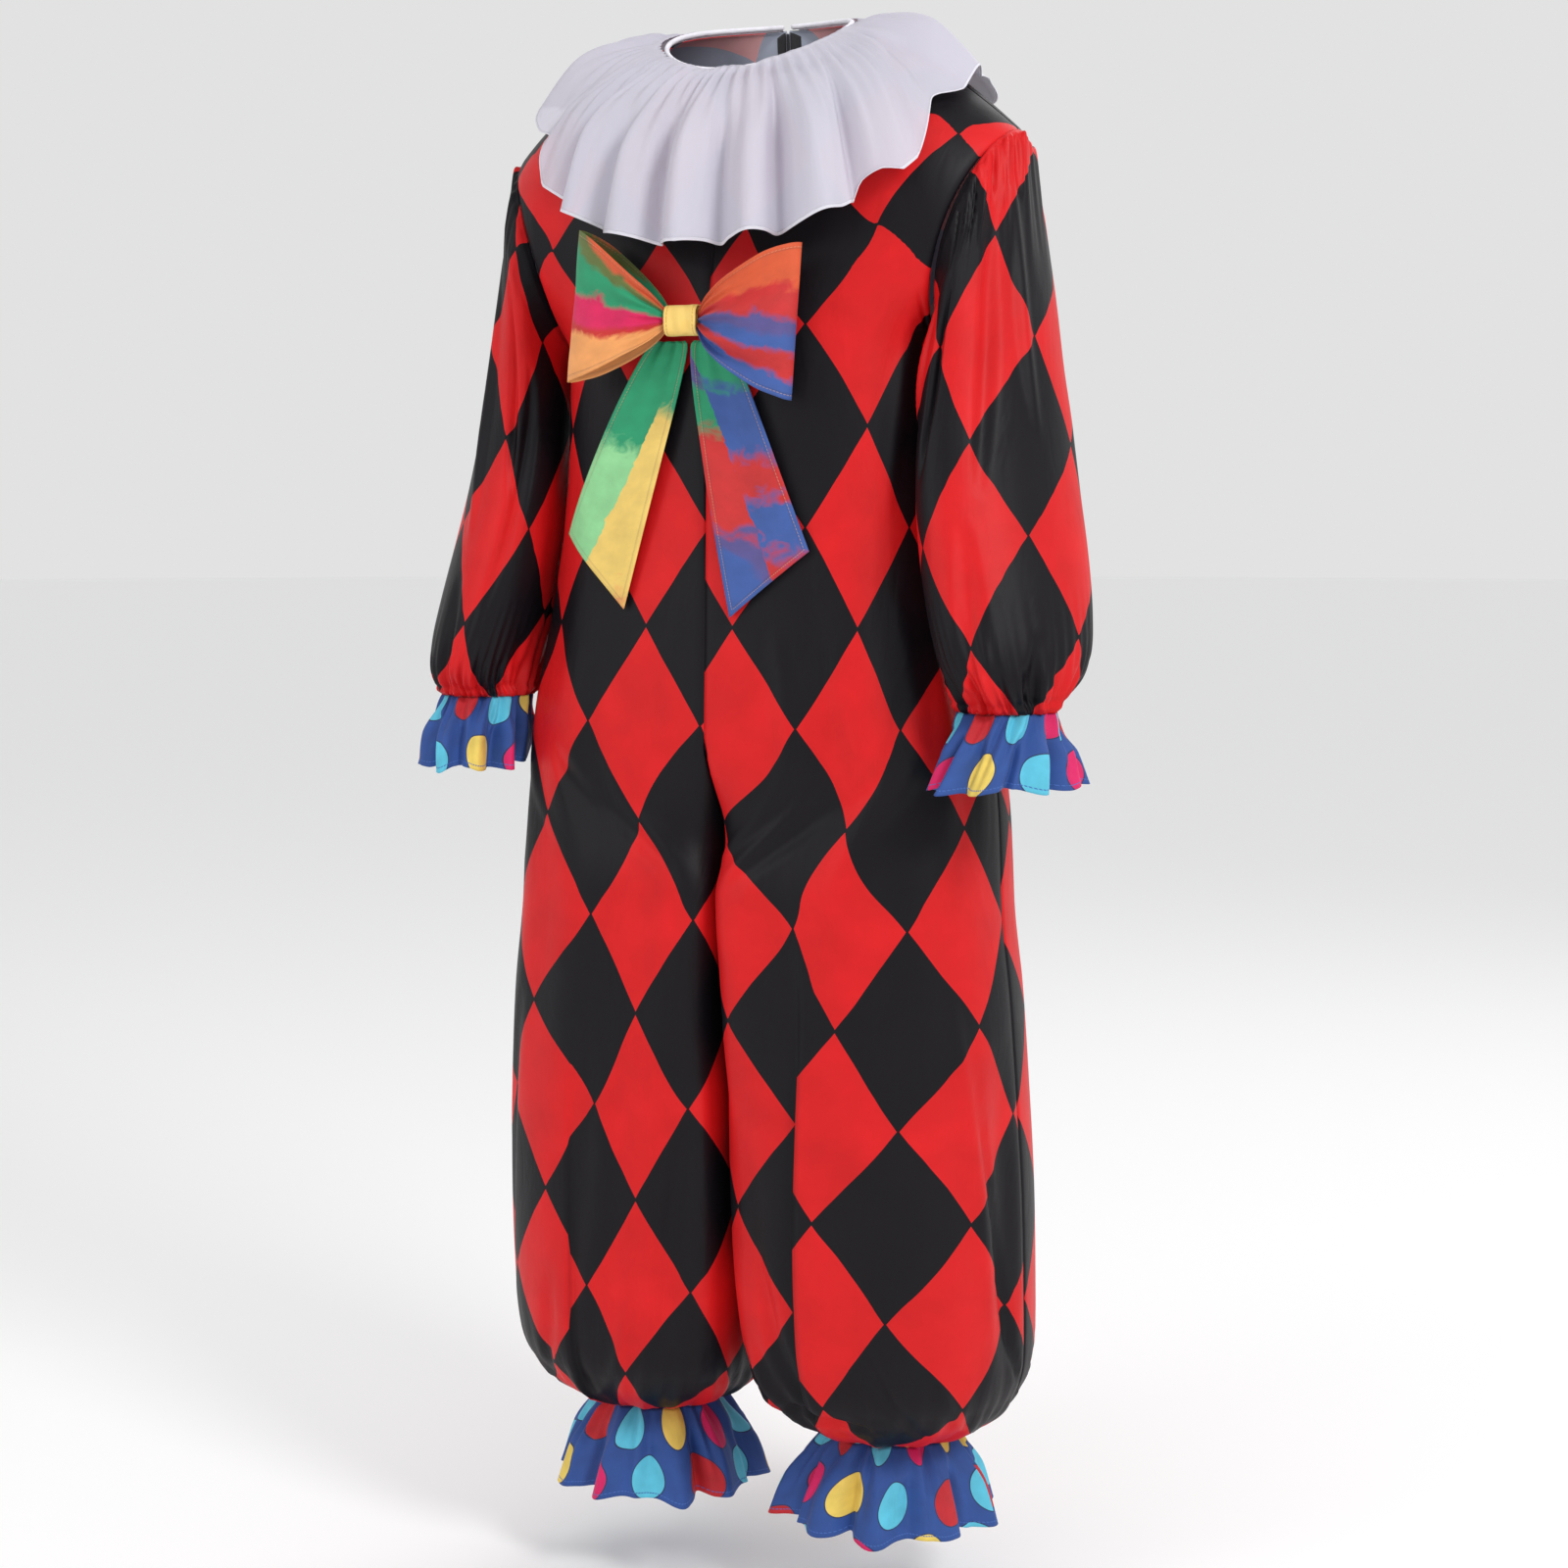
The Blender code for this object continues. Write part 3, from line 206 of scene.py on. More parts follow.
HANDS = {"left": 1.0, "right": -1.0}
FACES = {"front": -1.0, "back": 1.0}

# ---- The shells' own sizes ------------------------------------------------------------------------
SATIN = 0.0008
COTTON = 0.0008
VOILE = 0.0006
RIBBON = 0.0009


# ==== Curves =======================================================================================
STEEPEST = 3  # times the slopes on either side, so that a curve never swings past its values
CREASE_END = 0.55  # a crease's width at its ends, as a share of its width in the middle
CREASE_FADE = 0.8
RIDGE_SHARPNESS = 2.0
VALLEY_SHARPNESS = 3.2  # folds sink more narrowly than they rise
PUCKERS = [  # small waves round an edge, and how far and how often their spacing sways
    ("edge", "waves", "sway", "turns", "start"),
    ("ankle", 37, 1.3, 4, 0),
    ("wrist", 37, 1.1, 3, 0),
    ("cap", 43, 0.9, 4, 0),
    ("collar", 37, 1.2, 4, 2),
]


def chosen_rows(table, **chosen):
    """The table with only those rows that hold the chosen values, or "both", in those columns."""
    places = [(table[0].index(name), value) for name, value in chosen.items()]
    return [table[0], *(row for row in table[1:] if all(row[k] in (value, "both") for k, value in places))]


def named(table, **chosen):
    """A table's chosen rows, with each value under its column's name."""
    return [dict(zip(table[0], row)) for row in chosen_rows(table, **chosen)[1:]]


def column(table, name):
    place = table[0].index(name)
    return np.array([row[place] for row in table[1:]], float)


def smooth(keys, values, at):
    """A smooth curve through (keys, values), read at an array of places. The keys rise."""
    keys, values = np.asarray(keys, float), np.asarray(values, float)
    at = np.clip(at, keys[0], keys[-1])
    slopes = np.gradient(values, keys)
    steps = np.diff(values) / np.diff(keys)
    for i, step in enumerate(steps):
        for end in (i, i + 1):
            if slopes[end] * step <= 0:
                slopes[end] = 0.0
            elif abs(slopes[end]) > STEEPEST * abs(step):
                slopes[end] = STEEPEST * step
    i = np.clip(np.searchsorted(keys, at, "right") - 1, 0, len(keys) - 2)
    span = keys[i + 1] - keys[i]
    t = (at - keys[i]) / span
    return (
        (2 * t**3 - 3 * t**2 + 1) * values[i]
        + (t**3 - 2 * t**2 + t) * span * slopes[i]
        + (3 * t**2 - 2 * t**3) * values[i + 1]
        + (t**3 - t**2) * span * slopes[i + 1]
    )


def read(table, key, name, at):
    """A table's column, read smoothly along its key column."""
    keys, values = column(table, key), column(table, name)
    if keys[0] > keys[-1]:
        return smooth(-keys, values, -np.asarray(at, float))
    return smooth(keys, values, at)


def ease(share):
    share = np.clip(share, 0.0, 1.0)
    return share * share * (3 - 2 * share)


def power(value, exponent):
    return np.sign(value) * np.abs(value) ** exponent


def point(x, y, z):
    return np.stack(np.broadcast_arrays(x, y, z), axis=-1)


def pairs(across, down):
    """Places on the flat cloth, from how far across and how far down they are."""
    return np.stack(np.broadcast_arrays(across, down), axis=-1)


def unit(vectors):
    lengths = np.linalg.norm(vectors, axis=-1, keepdims=True)
    return vectors / np.maximum(lengths, 1e-12)


def along(points, axis):
    """Running length along the rows or columns of a grid."""
    steps = np.linalg.norm(np.diff(points, axis=axis), axis=-1)
    start = np.zeros_like(np.take(steps, [0], axis=axis))
    return np.concatenate([start, np.cumsum(steps, axis=axis)], axis=axis)


def facing(points, wrap=False):
    """Unit normals of a grid, on the side from which its rows run down and its columns rightward."""
    down = np.gradient(points, axis=0)
    if wrap:
        across = np.roll(points, -1, axis=1) - np.roll(points, 1, axis=1)
    else:
        across = np.gradient(points, axis=1)
    return unit(np.cross(down, across))


def bump(distance, half_width, sharpness=RIDGE_SHARPNESS):
    """1 at no distance, falling smoothly to 0 at half_width."""
    return np.cos(np.clip(np.abs(distance) / half_width, 0, 1) * math.pi / 2) ** sharpness


def hump(distance, width):
    """1 at no distance, dying away beyond the width."""
    return np.exp(-((distance / width) ** 2))


def swayed(angle, waves, sway, turns, start=0.0, shift=0.0):
    """Waves round a circle. Their spacing sways so many times on the way round."""
    return np.cos(waves * angle + shift + sway * np.sin(turns * angle + start))


def puckers(edge, angle):
    row = named(PUCKERS, edge=edge)[0]
    return swayed(angle, row["waves"], row["sway"], row["turns"], row["start"])


def gather(angle, waves, depth):
    uneven = 1 + GATHER_UNEVEN * np.sin(GATHER_UNEVEN_TURNS * angle)
    return depth * uneven * swayed(angle, waves, GATHER_SWAY, GATHER_SWAY_TURNS)


def creases(table, x, y, **chosen):
    """The height of a table of listed creases over flat places (x, y), in metres."""
    height = np.zeros(np.broadcast(x, y).shape)
    for crease in named(table, **chosen):
        run = np.array([crease["x1"] - crease["x0"], crease["y1"] - crease["y0"]])
        length = math.hypot(*run)
        run = run / length
        from_x, from_y = x - crease["x0"], y - crease["y0"]
        inside = np.sin(math.pi * np.clip((from_x * run[0] + from_y * run[1]) / length, 0, 1))
        aside = from_y * run[0] - from_x * run[1] - crease["bend"] * inside
        width = crease["half_width"] * (CREASE_END + (1 - CREASE_END) * inside)
        height += crease["depth"] * bump(aside, width) * inside**CREASE_FADE
    return height


def folds_round(table, degrees, down, full=1.0):
    """Listed folds that run down from a gathered edge: their lift, their drop and their lean.
    They are full from the share full of the way down."""
    sums = {name: np.zeros(np.broadcast(degrees, down).shape) for name in ("depth", "drop", "lean")}
    for fold in named(table):
        apart = (degrees - fold["angle_deg"] + 180) % 360 - 180
        sharpness = RIDGE_SHARPNESS if fold["depth"] >= 0 else VALLEY_SHARPNESS
        growth = ease((down - fold["start"]) / (full - fold["start"]))
        shape = bump(apart, fold["half_width_deg"], sharpness) * growth
        for name in sums:
            sums[name] += fold[name] * shape
    return sums["depth"], sums["drop"], sums["lean"]


# ==== The body's form ================================================================================
ROUND_ANKLE = 0.05  # the leg turns round over this height above its elastic


def fold_depth(face, share, z):
    depth = np.zeros(np.broadcast(share, z).shape)
    for fold in named(FOLDS, face=face):
        down = np.clip((fold["top_z"] - z) / (fold["top_z"] - fold["low_z"]), 0, 1)
        across = bump(share - fold["share"], fold["half_share"])
        depth = depth + fold["depth"] * across * np.sin(down * math.pi)
    return depth


def section_point(face, share, z, swell=0.0):
    """A point of the half body's section at height z, at a share of the way from centre to side."""
    sign = FACES[face]
    turn = share * math.pi / 2
    push = swell + fold_depth(face, share, z)
    torso_x = (read(TORSO, "z", "half_width", z) + push) * power(np.sin(turn), SQUARENESS)
    torso_y = sign * (read(TORSO, "z", face, z) + push) * power(np.cos(turn), SQUARENESS)
    full = 1 - (1 - LEG_SQUARENESS) * ease((z - ANKLE_Z) / ROUND_ANKLE)
    full = np.where(np.asarray(share) < 0.5, read(LEG, "z", "inner_square", z), full)
    leg_x = read(LEG, "z", "centre_x", z)
    leg_x = leg_x - (read(LEG, "z", "half_width", z) + push) * power(np.cos(2 * turn), full)
    leg_y = read(LEG, "z", "centre_y", z)
    leg_y = leg_y + sign * (read(LEG, "z", face, z) + push) * power(np.sin(2 * turn), full)
    parted = ease((FORK_TOP_Z - z) / (FORK_TOP_Z - FORK_Z))
    return point((1 - parted) * torso_x + parted * leg_x, (1 - parted) * torso_y + parted * leg_y, z)


def neck_point(angle):
    front, back = NECK_FRONT_Z, NECK_BACK_Z
    rise = 0.5 - 0.5 * np.cos(angle)
    z = front + (back - front) * rise - (front + back) / 2 * np.sin(angle) ** 2
    return point(NECK_HALF_WIDTH * np.sin(angle), NECK_CENTRE_Y - NECK_HALF_DEPTH * np.cos(angle), z)


def sleeve_point(ring, angle, swell=0.0):
    places = range(len(SLEEVE) - 1)
    size = {name: smooth(places, column(SLEEVE, name), ring) for name in SLEEVE[0]}
    outer = point(size["outer_x"], size["centre_y"], size["outer_z"])
    inner = point(size["inner_x"], size["centre_y"], size["inner_z"])
    half = (outer - inner) / 2
    reach = np.linalg.norm(half, axis=-1)
    across = half * ((1 + swell / reach) * np.cos(angle))[..., None]
    ahead = -(size["half_depth"] + swell) * np.sin(angle)
    dent = ARMHOLE_DENT * np.sin(angle) ** 2 * np.maximum(0.0, 1 - ring / DENT_RINGS)
    return (outer + inner) / 2 + across + point(size["slant"] * ahead - dent, ahead, 0.0)


def armhole_point(face, share):
    angle = math.pi * (1 - np.asarray(share, float))
    return sleeve_point(np.zeros_like(angle), angle if face == "front" else -angle)


def shoulder_point(share):
    neck, tip = neck_point(math.pi / 2), armhole_point("front", 1.0)
    share = np.asarray(share, float)[..., None]
    return neck + (tip - neck) * share + np.array([0, 0, SHOULDER_BULGE]) * np.sin(math.pi * share)


def centre_point(face, up):
    quarter = math.pi / 2
    low = section_point(face, 0.0, UNDERARM_Z)
    neck = neck_point(0.0 if face == "front" else 2 * quarter)
    climb = np.clip(up / YOKE_CORNER, 0, 1)
    inward = (1 - (1 - climb) ** CENTRE_TOP_CURVE) ** CENTRE_LOW_CURVE
    out = abs(low[1]) + (abs(neck[1]) - abs(low[1])) * inward
    centre = point(0.0, FACES[face] * out, low[2] + (neck[2] - low[2]) * climb)
    turn = quarter * np.clip((up - YOKE_CORNER) / (1 - YOKE_CORNER), 0, 1)
    round_neck = neck_point(turn if face == "front" else 2 * quarter - turn)
    return np.where((up > YOKE_CORNER)[..., None], round_neck, centre)


def yoke_point(face, share, up):
    """A point between the underarm and the shoulder seam, filled in from the yoke's four sides."""
    share, up = np.broadcast_arrays(np.asarray(share, float), np.asarray(up, float))
    s, u = share[..., None], up[..., None]

    def between_sides(height):
        return (1 - s) * centre_point(face, height) + s * armhole_point(face, height)

    ends = (1 - u) * section_point(face, share, UNDERARM_Z) + u * shoulder_point(share)
    corners = (1 - u) * between_sides(np.zeros(1)) + u * between_sides(np.ones(1))
    return between_sides(up) + ends - corners


# ==== Meshes =========================================================================================
def link(name, data):
    thing = bpy.data.objects.new(name, data)
    bpy.context.scene.collection.objects.link(thing)
    return thing


def quads(grid, outward):
    """The four corners of each cell of a grid, in the order that makes its face point outward."""
    corners = [grid[:-1, :-1], grid[1:, :-1], grid[1:, 1:], grid[:-1, 1:]]
    return np.stack(corners if outward > 0 else corners[::-1], axis=2)


def shell(name, points, cut, thickness, cloth, inside=None, wrap=False, outward=1, edge=None):
    """A cloth piece from a grid of points. cut holds each point's place on the flat cloth, in metres.
    outward is -1 where facing() points into the garment. edge is the distance to a finished edge."""
    rows, columns = points.shape[:2]
    numbers = np.arange(rows * columns).reshape(rows, columns)
    if wrap:
        numbers = np.concatenate([numbers, numbers[:, :1]], axis=1)
    loops = quads(numbers, outward).reshape(-1)
    mesh = bpy.data.meshes.new(name)
    mesh.vertices.add(rows * columns)
    mesh.vertices.foreach_set("co", points.reshape(-1))
    mesh.loops.add(len(loops))
    mesh.loops.foreach_set("vertex_index", loops)
    mesh.polygons.add(len(loops) // 4)
    mesh.polygons.foreach_set("loop_start", np.arange(0, len(loops), 4))
    mesh.update(calc_edges=True)
    maps = {"cut": cut}
    if edge is not None:
        maps["edge"] = pairs(cut.sum(axis=-1), edge)
    for title, places in maps.items():
        layer = mesh.uv_layers.new(name=title)
        layer.data.foreach_set("uv", quads(places, outward).reshape(-1))
    mesh.validate()
    mesh.shade_smooth()
    mesh.materials.append(cloth)
    mesh.materials.append(inside or cloth)
    piece = link(name, mesh)
    thick = piece.modifiers.new("thickness", "SOLIDIFY")
    thick.thickness = thickness
    thick.offset = -1
    thick.material_offset = 1
    thick.use_even_offset = False
    return piece


def mirrored(points, hand):
    return points * (HANDS[hand], 1.0, 1.0)


def settle(piece, slot, *nodes, body="suit"):
    """The piece stands for its solids and rides with their body."""
    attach(piece, body)
    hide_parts(*nodes)
    return piece


# ==== Body panels ====================================================================================
PANEL_COLUMNS = 79
DENSE_SHARES = 240
YOKE_STEPS = 78
BODY_STEPS = 236
BUNCHED = 4  # how closely the columns stand at the inseam and beside the leg's middle
BODY_ROWS = [  # the height at a share of the body's rows
    ("share", "z"),
    (0, UNDERARM_Z),
    (0.78, -1.255),
    (0.845, -1.300),
    (0.90, -1.335),
    (0.95, -1.355),
    (0.98, -1.364),
    (1, ANKLE_Z),
]
EASED_ROWS = 12  # to either side of the break between yoke and body, which is rounded off
EASED_TIMES = 18
EASED_HELD = 8  # columns beside each seam, which are held in place more and more
SEAM_FADE = 0.012  # creases fade out this close to a seam
SEAM_GROOVE = 0.0011
SEAM_GROOVE_WIDTH = 0.0045
ANKLE_FADE = 0.02  # creases fade out over this height above the ankle elastic
ANKLE_PLAIN = 0.004  # and there are none this close to it
HALF_DIAMOND = 0.06425  # the pattern's columns stand this far apart on the flat cloth
GUIDES = [  # shares of the way from centre seam or inseam to side seam at which its columns 0 to 4 run
    ("face", "hand", "z", "column_0", "column_1", "column_2", "column_3", "column_4"),
    ("front", "left", -0.300, 0.115, 0.366, 0.592, 0.760, 0.960),
    ("front", "left", -0.450, 0.109, 0.358, 0.555, 0.720, 0.930),
    ("front", "left", -0.560, 0.098, 0.335, 0.513, 0.675, 0.885),
    ("front", "left", -0.655, 0.090, 0.297, 0.480, 0.616, 0.815),
    ("front", "left", -0.750, 0.148, 0.390, 0.513, 0.668, 0.834),
    ("front", "left", -0.840, 0.310, 0.478, 0.575, 0.715, 0.862),
    ("front", "left", -0.940, 0.306, 0.463, 0.551, 0.688, 0.866),
    ("front", "left", -1.030, 0.289, 0.452, 0.519, 0.667, 0.840),
    ("front", "left", -1.120, 0.276, 0.434, 0.484, 0.648, 0.810),
    ("front", "left", -1.210, 0.260, 0.415, 0.478, 0.621, 0.800),
    ("front", "left", -1.300, 0.245, 0.408, 0.472, 0.610, 0.787),
    ("front", "left", -1.367, 0.240, 0.400, 0.470, 0.600, 0.780),
    ("front", "right", -0.300, 0.210, 0.440, 0.657, 0.860, 0.990),
    ("front", "right", -0.550, 0.214, 0.430, 0.632, 0.820, 0.985),
    ("front", "right", -0.640, 0.215, 0.420, 0.605, 0.790, 0.960),
    ("front", "right", -0.740, 0.317, 0.452, 0.631, 0.794, 0.957),
    ("front", "right", -0.830, 0.425, 0.538, 0.698, 0.814, 0.945),
    ("front", "right", -0.925, 0.412, 0.515, 0.691, 0.820, 0.950),
    ("front", "right", -1.013, 0.406, 0.498, 0.660, 0.790, 0.910),
    ("front", "right", -1.110, 0.400, 0.510, 0.623, 0.745, 0.885),
    ("front", "right", -1.210, 0.405, 0.515, 0.628, 0.760, 0.890),
    ("front", "right", -1.367, 0.450, 0.540, 0.640, 0.770, 0.905),
    ("back", "both", -0.300, 0.160, 0.400, 0.640, 0.860, 0.990),
    ("back", "both", -0.560, 0.150, 0.375, 0.590, 0.800, 0.970),
    ("back", "both", -0.660, 0.140, 0.340, 0.540, 0.735, 0.930),
    ("back", "both", -0.750, 0.233, 0.405, 0.578, 0.751, 0.918),
    ("back", "both", -0.840, 0.367, 0.500, 0.635, 0.767, 0.902),
    ("back", "both", -1.030, 0.346, 0.479, 0.610, 0.742, 0.873),
    ("back", "both", -1.367, 0.340, 0.470, 0.600, 0.730, 0.860),
]
LEG_CLOTH_WIDTH = 0.472
LEG_CLOTH_TOP_Z = -1.20
ROLLED_Z = -1.235  # below it the cloth's length follows its curve in to the elastic
ROLLED_REACH = 0.03
YOKE_LOWER = 0.036  # the pattern's columns by the armhole stand this much lower at the shoulder
YOKE_LOWER_REACH = 0.20
YOKE_LOWER_FROM = 0.2  # of the neck's half width
TUCK_SPAN = 0.0024  # between the two edges of a tuck
TUCK_FULL = 0.0015  # a tuck this deep hides all of its cloth
TUCK_REACH_OVER = 0.034
TUCK_REACH_UNDER = 0.016
TUCK_DIP = -0.35
TUCK_LAP = 0.8
TUCKS = [  # long folds that hide some cloth: where they run, as a share across the panel, and how deep
    ("face", "hand", "z", "share", "depth"),
    ("front", "left", -0.300, 0.478, 0.0000),
    ("front", "left", -0.830, 0.482, 0.0000),
    ("front", "left", -0.945, 0.475, 0.0030),
    ("front", "left", -1.030, 0.461, 0.0052),
    ("front", "left", -1.120, 0.443, 0.0064),
    ("front", "left", -1.230, 0.434, 0.0072),
    ("front", "left", -1.330, 0.428, 0.0060),
    ("front", "left", -1.367, 0.425, 0.0000),
    ("front", "right", -0.300, 0.560, 0.0000),
    ("front", "right", -0.960, 0.560, 0.0000),
    ("front", "right", -1.150, 0.560, 0.0022),
    ("front", "right", -1.330, 0.570, 0.0036),
    ("front", "right", -1.367, 0.570, 0.0000),
    ("back", "left", -0.300, 0.600, 0.0000),
    ("back", "left", -0.900, 0.600, 0.0000),
    ("back", "left", -1.100, 0.590, 0.0040),
    ("back", "left", -1.330, 0.570, 0.0058),
    ("back", "left", -1.367, 0.570, 0.0000),
    ("back", "right", -0.300, 0.480, 0.0000),
    ("back", "right", -0.820, 0.480, 0.0000),
    ("back", "right", -1.060, 0.470, 0.0052),
    ("back", "right", -1.330, 0.490, 0.0048),
    ("back", "right", -1.367, 0.490, 0.0000),
]
ANKLE_PUCKER = [("z", "depth"), (-1.240, 0.0), (-1.300, 0.0006), (-1.340, 0.0017), (-1.367, 0.0013)]
PANEL_CREASES = [  # x is across the panel from the centre or inseam, y is the height
    ("face", "hand", "x0", "y0", "x1", "y1", "half_width", "bend", "depth"),
    # -- the wearer's left, front
    ("front", "left", 0.094, -1.262, 0.112, -1.362, 0.011, 0.004, -0.0125),
    ("front", "left", 0.122, -1.250, 0.136, -1.358, 0.016, 0.004, 0.0080),
    ("front", "left", 0.064, -1.270, 0.082, -1.358, 0.014, 0.004, 0.0065),
    ("front", "left", 0.130, -1.318, 0.235, -1.335, 0.009, 0.004, -0.0060),
    ("front", "left", 0.235, -0.250, 0.215, -0.420, 0.016, 0.004, -0.0050),
    ("front", "left", 0.205, -0.275, 0.175, -0.460, 0.018, -0.006, 0.0040),
    ("front", "left", 0.120, -0.620, 0.150, -0.860, 0.026, 0.010, -0.0050),
    ("front", "left", 0.070, -0.560, 0.099, -0.800, 0.020, 0.004, 0.0038),
    ("front", "left", 0.185, -0.520, 0.216, -0.760, 0.022, 0.006, 0.0036),
    ("front", "left", 0.395, -1.010, 0.430, -1.330, 0.013, 0.008, -0.0075),
    ("front", "left", 0.370, -0.900, 0.395, -1.240, 0.018, 0.006, 0.0050),
    ("front", "left", 0.100, -0.880, 0.120, -1.200, 0.024, 0.010, -0.0060),
    ("front", "left", 0.155, -1.150, 0.185, -1.345, 0.016, -0.006, -0.0060),
    ("front", "left", 0.260, -1.230, 0.270, -1.350, 0.013, 0.004, -0.0048),
    ("front", "left", 0.325, -1.250, 0.315, -1.350, 0.012, 0.004, 0.0036),
    ("front", "left", 0.020, -1.180, 0.095, -1.340, 0.012, 0.004, -0.0050),
    # -- the wearer's right, front
    ("front", "right", 0.230, -0.260, 0.200, -0.440, 0.016, 0.004, -0.0046),
    ("front", "right", 0.130, -0.600, 0.165, -0.900, 0.026, -0.008, -0.0045),
    ("front", "right", 0.200, -0.480, 0.252, -0.780, 0.024, 0.006, 0.0040),
    ("front", "right", 0.345, -0.920, 0.375, -1.250, 0.022, 0.010, -0.0055),
    ("front", "right", 0.225, -0.980, 0.245, -1.260, 0.026, -0.008, 0.0045),
    ("front", "right", 0.130, -1.000, 0.155, -1.300, 0.020, 0.006, -0.0055),
    ("front", "right", 0.285, -1.200, 0.275, -1.350, 0.014, 0.004, -0.0052),
    ("front", "right", 0.195, -1.240, 0.205, -1.352, 0.012, -0.004, 0.0036),
    ("front", "right", 0.410, -1.160, 0.430, -1.340, 0.013, 0.004, -0.0050),
    # -- both backs
    ("back", "left", 0.225, -0.260, 0.190, -0.470, 0.018, 0.006, -0.0050),
    ("back", "right", 0.215, -0.265, 0.195, -0.440, 0.016, -0.004, -0.0044),
    ("back", "both", 0.110, -0.500, 0.129, -0.800, 0.028, 0.008, -0.0048),
    ("back", "left", 0.170, -0.620, 0.230, -0.930, 0.024, -0.006, 0.0040),
    ("back", "right", 0.180, -0.560, 0.215, -0.850, 0.022, 0.006, 0.0044),
    ("back", "left", 0.315, -0.900, 0.345, -1.240, 0.020, 0.008, -0.0055),
    ("back", "right", 0.335, -0.960, 0.355, -1.280, 0.022, 0.006, -0.0060),
    ("back", "left", 0.135, -1.020, 0.165, -1.320, 0.018, -0.006, -0.0052),
    ("back", "right", 0.165, -0.940, 0.175, -1.260, 0.020, 0.006, -0.0050),
    ("back", "both", 0.245, -1.200, 0.235, -1.352, 0.013, 0.004, -0.0046),
    ("back", "both", 0.390, -1.210, 0.395, -1.350, 0.012, 0.003, -0.0042),
    ("back", "both", 0.085, -1.220, 0.105, -1.350, 0.011, 0.003, -0.0040),
]


def panel_grid(face):
    """The left half's smooth form, row by row from the shoulder seam to the ankle elastic."""
    way = np.linspace(0, 1, DENSE_SHARES)
    inner = 0.5 * way**BUNCHED / (way**BUNCHED + (1 - way) ** BUNCHED)
    share = np.concatenate([inner, np.linspace(0.5, 1, DENSE_SHARES // 2)[1:]])[None, :]
    up = np.linspace(1, 0, YOKE_STEPS, endpoint=False)[:, None]
    down = np.linspace(0, 1, BODY_STEPS)
    z = np.interp(down, column(BODY_ROWS, "share"), column(BODY_ROWS, "z"))[:, None]
    angle = math.pi * (1 + FACES[face] * share)
    swell = gather(angle, ANKLE_GATHERS, read(ANKLE_GATHER, "z", "depth", z))
    swell = swell + read(ANKLE_PUCKER, "z", "depth", z) * puckers("ankle", angle)
    body = section_point(face, share, z, swell)
    return np.concatenate([yoke_point(face, share, up), body], axis=0), z[:, 0]


def tuck_of(face, hand, z):
    """The column after which a panel's tuck opens, and its share and depth on every row."""
    table = chosen_rows(TUCKS, face=face, hand=hand)
    share, depth = read(table, "z", "share", z), read(table, "z", "depth", z)
    share = np.concatenate([np.full(YOKE_STEPS, share[0]), share])
    depth = np.concatenate([np.zeros(YOKE_STEPS), depth])
    return int(round(np.mean(share) * (PANEL_COLUMNS - 1))), share, depth


def evenly_spread(points, last_left, tuck_share):
    """The rows drawn anew with even columns, two of which stand close on either side of the tuck."""
    arc = along(points, 1)
    rows = []
    for line, run, share in zip(points, arc, tuck_share):
        half = TUCK_SPAN / run[-1] / 2
        left = np.linspace(0, share - half, last_left + 1)
        right = np.linspace(share + half, 1, PANEL_COLUMNS - last_left - 1)
        places = np.concatenate([left, right]) * run[-1]
        rows.append(np.stack([np.interp(places, run, line[:, axis]) for axis in range(3)], axis=-1))
    return np.array(rows)


def eased_rows(points):
    """Rounds off the break between yoke and body, along the columns."""
    rounded = points.copy()
    low, high = YOKE_STEPS - EASED_ROWS, YOKE_STEPS + EASED_ROWS
    for _ in range(EASED_TIMES):
        before, after = rounded[low - 1 : high - 1], rounded[low + 1 : high + 1]
        rounded[low:high] = (before + 2 * rounded[low:high] + after) / 4
    keep = np.ones(points.shape[1])
    keep[-EASED_HELD:] = np.linspace(1, 0, EASED_HELD)
    keep[:EASED_HELD] = np.linspace(0, 1, EASED_HELD)
    return points + (rounded - points) * keep[None, :, None]


def flat_body(body, z, face, hand, tuck):
    """The body's places on the flat cloth: across from the pattern's column 0, down from the underarm."""
    last_left, tuck_share, tuck_depth = tuck
    arc = along(body, 1)
    total = arc[:, -1]
    guides = chosen_rows(GUIDES, face=face, hand=hand)
    shares = np.stack([read(guides, "z", f"column_{k}", z) for k in range(5)], axis=1)
    knots = np.arange(5) * HALF_DIAMOND
    across = np.empty(arc.shape)
    for row, wide in enumerate(np.where(z < LEG_CLOTH_TOP_Z, LEG_CLOTH_WIDTH, total)):
        opening, depth = tuck_share[YOKE_STEPS + row], tuck_depth[YOKE_STEPS + row]
        places = np.array([0.0, *shares[row], 1.0])
        values = np.array([-shares[row, 0] * wide, *knots, knots[-1] + (1 - shares[row, -1]) * wide])
        at = arc[row] / total[row]
        whole = smooth(places, values, at)
        left, right = places < opening, places > opening
        left_end = values[left][-1] + (opening - places[left][-1]) * wide
        right_end = values[right][0] - (places[right][0] - opening) * wide
        before = smooth([*places[left], opening], [*values[left], left_end], at)
        after = smooth([opening, *places[right]], [right_end, *values[right]], at)
        split = np.where(np.arange(PANEL_COLUMNS) > last_left, after, before)
        across[row] = whole + (split - whole) * min(depth / TUCK_FULL, 1.0)
    steps = np.linalg.norm(np.diff(body[:, PANEL_COLUMNS // 2], axis=0), axis=-1)
    fall = -np.diff(z)
    rolled = ease((ROLLED_Z - z[1:]) / ROLLED_REACH)
    down = np.concatenate([[0], np.cumsum(fall + (steps - fall) * rolled)])
    return pairs(across, down[:, None])


